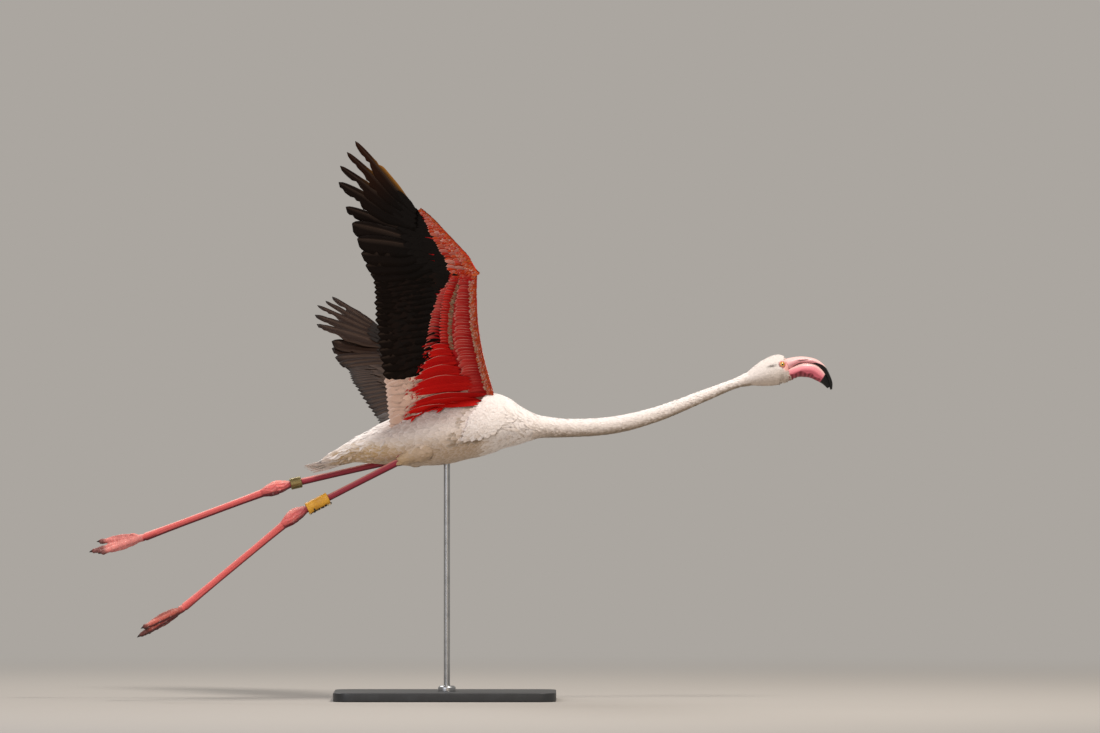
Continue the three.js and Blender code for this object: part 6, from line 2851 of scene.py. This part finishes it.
@dataclass
class Claws:
    """A short dark claw on each toe."""

    length: float = 15.0
    radius: float = 4.2
    rows: int = 10
    sides: int = 10
    brown: str = "#6B4A44"
    black: str = "#1E1614"

    def build(self) -> None:
        """Builds the claws of both feet."""
        bundle = Bundle("claws")
        for side in Side:
            line = LEG_LINES[side]
            for toe in line.toes:
                self._add(bundle, line.foot, toe)
        # Claws are the same horn as the bill, a little duller from wear.
        settle(bundle.build(Horn("keratin_horn_claw", roughness=0.4).make(), maps=()), "leg_skin")

    def _add(self, bundle: Bundle, foot: Points, tip: Points) -> None:
        """A curved cone from inside the toe to just past its tip.

        Args:
            bundle: What it is gathered in.
            foot: The root of the toe.
            tip: The tip of the toe.
        """
        along = unit(tip - foot)
        side = unit(np.cross(along, [0.0, 1.0, 0.0]))
        over = side if side[2] > 0 else -side
        share = np.linspace(0, 1, self.rows)[:, None]
        arch = 1.5 * np.sin(math.pi * share * 0.6) - 1.2 * share
        middle = tip + along * (share - 0.45) * self.length + over * arch
        turn = np.arange(self.sides) * TURN / self.sides
        across = np.cross(along, over)
        radius = (self.radius * (1 - share**1.6) + 0.15)[:, None]
        ring = over * np.cos(turn)[None, :, None] + across * np.sin(turn)[None, :, None] * 0.8
        points = FLIGHT.body(middle[:, None] + ring * radius)
        colour = tint(linear(self.brown), linear(self.black), ease(share + 0 * turn[None], 0.2, 0.8))
        bundle.add(points, grid_faces(self.rows, self.sides, closed=True), colour)


# ---------- leg rings ----------


@dataclass
class LegRing:
    """A plain ring on the leg, turned round the line from knee to ankle."""

    name: str
    node: str
    slot: str
    side: Side
    share: float
    length: float
    inner: float
    outer: float
    grooves: int = 0
    sides: int = 72
    lumps: int = 110
    chalk: str = "#D8CDB4"
    growth: str = "#2B2119"

    def axes(self) -> tuple[Points, Points, Points, Points]:
        """The ring's middle, its line and two directions across it."""
        line = LEG_LINES[self.side]
        along = unit(line.ankle - line.knee)
        aside = unit(np.cross(along, UP))
        return mix(line.knee, line.ankle, self.share), along, aside, np.cross(aside, along)

    def build(self, finish: bpy.types.Material) -> None:
        """Builds the ring with rounded lips, shallow grooves and a lapped seam."""
        middle, along, aside, over = self.axes()
        half, lip = self.length / 2, 0.9
        profile = [(self.inner, -half + lip), (self.inner + lip * 0.6, -half)]
        for step in np.linspace(-half + lip, half - lip, 40):
            wave = 0.5 + 0.5 * math.cos(TURN * self.grooves * (step + half) / self.length)
            profile.append((self.outer - 0.7 * (1 - wave) ** 2, step))
        profile += [(self.inner + lip * 0.6, half), (self.inner, half - lip), (self.inner, 0.0)]
        radius, place = (np.array(values)[:, None] for values in zip(*profile))
        turn = np.linspace(0, 2 * math.pi, self.sides, endpoint=False)[None]
        lap = 0.55 * ease(turn, 2.0, 2.05) * ease(turn, 2.9, 2.85) * (radius > self.inner + 1)
        radius = radius + lap
        ring = ring_of(aside, over, turn)
        points = middle + along * (place + 0 * turn)[..., None] + ring * radius[..., None]
        rows = len(profile)
        faces = grid_faces(rows + 1, self.sides, closed=True) % (rows * self.sides)
        bundle = Bundle(self.name)
        bundle.add(FLIGHT.body(points), faces, np.ones(3))
        settle(bundle.build(finish, maps=()), self.slot, self.node)

    def build_crust(self, rng: np.random.Generator) -> None:
        """Small dark and chalky lumps of dried growth along the ring's underside."""
        middle, along, aside, over = self.axes()
        bundle = Bundle("ring_crust")
        rows, sides = 7, 9
        polar, turn = np.linspace(0.05, math.pi - 0.05, rows), np.arange(sides) * TURN / sides
        polar, turn = np.meshgrid(polar, turn, indexing="ij")
        ball = np.stack([np.sin(polar) * np.cos(turn), np.sin(polar) * np.sin(turn), np.cos(polar)], -1)
        for _ in range(self.lumps):
            angle = -QUARTER + rng.normal(0, 0.38)
            place = rng.uniform(-0.5, 0.5) * self.length
            size = rng.uniform(0.8, 2.3)
            out = aside * math.cos(angle) + over * math.sin(angle)
            at = middle + along * place + out * (self.outer - 0.2 + 0.3 * size)
            shape = rng.uniform(0.5, 1.3, 3) * (1 + 0.4 * ripple(ball * 3 + rng.uniform(0, 9, 3), 2.0)[..., None])
            lump = ball * size * shape
            tone = linear(self.chalk) if rng.random() < 0.3 else linear(self.growth) * rng.uniform(0.7, 1.8)
            bundle.add(FLIGHT.body(at + lump), grid_faces(rows, sides, closed=True), np.clip(tone, 0, 1))
        # Dried growth is chalky and rough, quite without shine.
        finish = BareSkin("dried_shell_crust", roughness=0.8, grain=0.6, relief=0.2).make()
        settle(bundle.build(finish, maps=()), self.slot)


# ---------- stand ----------


@dataclass
class Stand:
    """A flat enamelled base with one steel rod and its collar, sized from the solids."""

    corner: float = 40.0
    bevel: float = 2.5
    corner_steps: int = 16
    bevel_steps: int = 6

    def build(self) -> None:
        """Builds base, rod and collar."""
        self._build_base()
        # Brushed steel: fine scratches round the rod draw its highlight out into a line.
        steel = Hard("brushed_stainless_steel", "#A9ABAD", "#8E9092", 0.3, 1.0, 0.5, 0.02, (1.0, 1.0, 0.06))
        finish = steel.make()
        low, high = (np.array(corner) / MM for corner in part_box("stand_rod"))
        radius = (high[0] - low[0]) / 2
        self._turned("stand_rod_steel", [(radius, low[2]), (radius, high[2] + 8)], "stand_rod", finish)
        low, high = (np.array(corner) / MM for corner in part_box("stand_collar"))
        wide, tall = (high[0] - low[0]) / 2, high[2] - low[2]
        profile = [(radius + 0.3, low[2]), (wide - 0.6, low[2]), (wide, low[2] + 0.6)]
        profile += [(wide, low[2] + tall * 0.55)]
        for share in np.linspace(0.1, 1, 8):
            profile.append((mix(wide, wide * 0.8, share * share), low[2] + tall * mix(0.55, 1.0, share) - 0.2))
        profile += [(wide * 0.8 - 0.5, high[2]), (radius + 0.3, high[2]), (radius + 0.3, low[2])]
        self._turned("stand_collar_steel", profile, "stand_collar", finish)

    def _turned(
        self, name: str, profile: Sequence[tuple[float, float]], node: str, finish: bpy.types.Material
    ) -> None:
        """A turned piece round the rod's line.

        Args:
            name: Its name.
            profile: Radius and height of each of its rings.
            node: The node that it dresses.
            finish: The material.
        """
        low, high = (np.array(corner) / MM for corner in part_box("stand_rod"))
        sides = 64
        turn = np.linspace(0, 2 * math.pi, sides, endpoint=False)[None]
        radius, height = (np.array(values, float)[:, None] for values in zip(*profile))
        points = np.stack([radius * np.cos(turn), radius * np.sin(turn), height + 0 * turn], -1)
        points[..., :2] += (low[:2] + high[:2]) / 2
        bundle = Bundle(name)
        bundle.add(points, grid_faces(len(profile), sides, closed=True), np.ones(3))
        piece = bundle.build(finish, maps=())
        keep_edges(piece, 40)
        settle(piece, "stand_steel", node)

    def _build_base(self) -> None:
        """The base: a rounded plate with eased edges."""
        low, high = (np.array(corner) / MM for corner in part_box("stand_base"))
        centre, half = (low + high) / 2, (high - low) / 2
        levels = []
        for step in range(self.bevel_steps + 1):
            angle = step / self.bevel_steps * QUARTER
            levels.append((self.bevel * (1 - math.sin(angle)), low[2] + self.bevel * (1 - math.cos(angle))))
        levels += [(inset, high[2] - (height - low[2])) for inset, height in reversed(levels)]
        rings = []
        for inset, height in levels:
            corners = []
            for quarter, (sx, sy) in enumerate(((1, 1), (-1, 1), (-1, -1), (1, -1))):
                turn = QUARTER * (quarter + np.linspace(0, 1, self.corner_steps))
                radius = self.corner - inset
                x = centre[0] + sx * (half[0] - self.corner) + radius * np.cos(turn)
                y = centre[1] + sy * (half[1] - self.corner) + radius * np.sin(turn)
                corners.append(np.stack([x, y, np.full_like(x, height)], -1))
            rings.append(np.concatenate(corners))
        points = np.array(rings)
        rows, sides = points.shape[:2]
        count = rows * sides
        middle = np.array([[centre[0], centre[1], low[2]], [centre[0], centre[1], high[2]]])
        rim = np.arange(sides)
        caps = fan(rim, count, flip=True), fan(count - sides + rim, count + 1)
        faces = np.concatenate([grid_faces(rows, sides, closed=True), *caps])
        bundle = Bundle("stand_base_plate")
        bundle.add(np.vstack([points.reshape(-1, 3), middle]), faces, np.ones(3))
        # Satin enamel: a broad soft highlight that keeps the base quiet under the bird.
        enamel = Hard("satin_black_enamel", "#26282A", "#313336", 0.42, 0.0, 0.7, 0.03)
        piece = bundle.build(enamel.make(), maps=())
        keep_edges(piece, 30)
        settle(piece, "stand_base", "stand_base")


def keep_edges(piece: Any, degrees: float) -> None:
    """Keeps edges sharper than this angle sharp in the shading."""
    with bpy.context.temp_override(object=piece, active_object=piece, selected_editable_objects=[piece]):
        bpy.ops.object.shade_smooth_by_angle(angle=math.radians(degrees), keep_sharp_edges=False)


# ---------- studio ----------


@dataclass
class Studio:
    """A pale seamless floor, soft lamps and a long lens level with the bird."""

    distance: float = 28.0
    width: float = 2.475  # metres across the picture at the bird
    aim: tuple[float, float, float] = (0.236, 0.0, 0.7504)
    paper: str = "#ABA6A0"
    sensor: float = 36.0

    def build(self) -> None:
        """Builds camera, floor, air and lamps."""
        self._build_camera()
        self._build_floor()
        self._build_air()
        self._add_lamp("key", (1.7, -1.6, 4.6), 1.1, 188.0, "#FFF8F0")
        self._add_lamp("fill", (-2.2, -4.2, 2.0), 2.6, 78.0, "#F2F4FF")
        self._add_lamp("rim", (-1.6, 2.6, 3.6), 1.6, 60.0, "#FFFFFF")
        self._add_lamp("low", (0.6, -3.4, 0.35), 1.6, 10.0, "#FFE9CF")

    def _build_camera(self) -> None:
        """A camera that looks along +Y."""
        data = bpy.data.cameras.new("camera")
        data.sensor_width = self.sensor
        data.lens = self.sensor * self.distance / self.width
        data.clip_end = 200.0
        camera = bpy.data.objects.new("camera", data)
        camera.location = Vector(self.aim) - Vector((0, self.distance, 0))
        camera.rotation_euler = (math.radians(90), 0, 0)
        bpy.context.scene.collection.objects.link(camera)
        bpy.context.scene.camera = camera

    def _build_floor(self) -> None:
        """Floor paper that fades into the air round the set."""
        rings, sides = 40, 96
        radius = np.geomspace(0.4, 90.0, rings)[:, None] / MM
        turn = np.linspace(0, 2 * math.pi, sides, endpoint=False)[None]
        points = np.stack([radius * np.cos(turn), radius * np.sin(turn), 0 * radius * turn - 0.2], -1)
        bundle = Bundle("floor")
        count = rings * sides
        faces = np.concatenate([grid_faces(rings, sides, closed=True), fan(np.arange(sides), count, flip=True)])
        fade = np.broadcast_to(ease(radius * MM, 1.2, 4.5)[..., None] * np.ones(3), points.shape)
        colours = np.vstack([fade.reshape(-1, 3), np.zeros(3)])
        bundle.add(np.vstack([points.reshape(-1, 3), [0, 0, -0.2]]), faces[:, ::-1], colours)
        bundle.build(FloorPaper("matt_floor_paper", self.paper).make(), maps=())

    def _build_air(self) -> None:
        """Even light from all round, the colour of the paper."""
        world = bpy.data.worlds.new("air")
        world.use_nodes = True
        world.node_tree.nodes["Background"].inputs[0].default_value = (*linear(self.paper), 1)
        world.node_tree.nodes["Background"].inputs[1].default_value = 1.0
        bpy.context.scene.world = world
        bpy.context.scene.view_settings.view_transform = "Standard"

    def _add_lamp(self, name: str, place: Sequence[float], size: float, watts: float, colour: str) -> None:
        """A square soft lamp that looks at the bird's shoulders."""
        data = bpy.data.lights.new(name, "AREA")
        data.size = size
        data.energy = watts
        data.color = linear(colour)
        lamp = bpy.data.objects.new(name, data)
        lamp.location = place
        target = Vector(FLIGHT.shoulders * MM) + Vector((0, 0, 0.1))
        lamp.rotation_euler = (target - Vector(place)).to_track_quat("-Z", "Y").to_euler()
        bpy.context.scene.collection.objects.link(lamp)


# ---------- assembly ----------


def main() -> None:
    """Builds the bird from the skin outward, then what it wears, the stand and the studio."""
    logging.basicConfig(level=logging.INFO, format="%(message)s")
    Skin().build()
    BodyCoat().build()
    Tail().build()
    for side in Side:
        Wing(side).build()
    Bill().build()
    Eyes().build()
    Claws().build()
    tall = LegRing("ring_yellow_band", "ring_tall_right", "ring_yellow", Side.RIGHT, 0.78, 54.0, 9.2, 13.6, 3)
    tall.build(Hard("moulded_yellow_plastic", "#DDA22E", "#AE741E", 0.42, 0.0, 1.2, 0.06).make())
    tall.build_crust(np.random.default_rng(5))
    metal = LegRing("ring_metal_band", "ring_metal_left", "ring_metal", Side.LEFT, 0.838, 26.0, 9.2, 12.8)
    metal.build(Hard("weathered_aluminium", "#8E8058", "#5A4A2C", 0.34, 1.0, 0.9, 0.05).make())
    Stand().build()
    Studio().build()


if __name__ == "__main__":
    main()
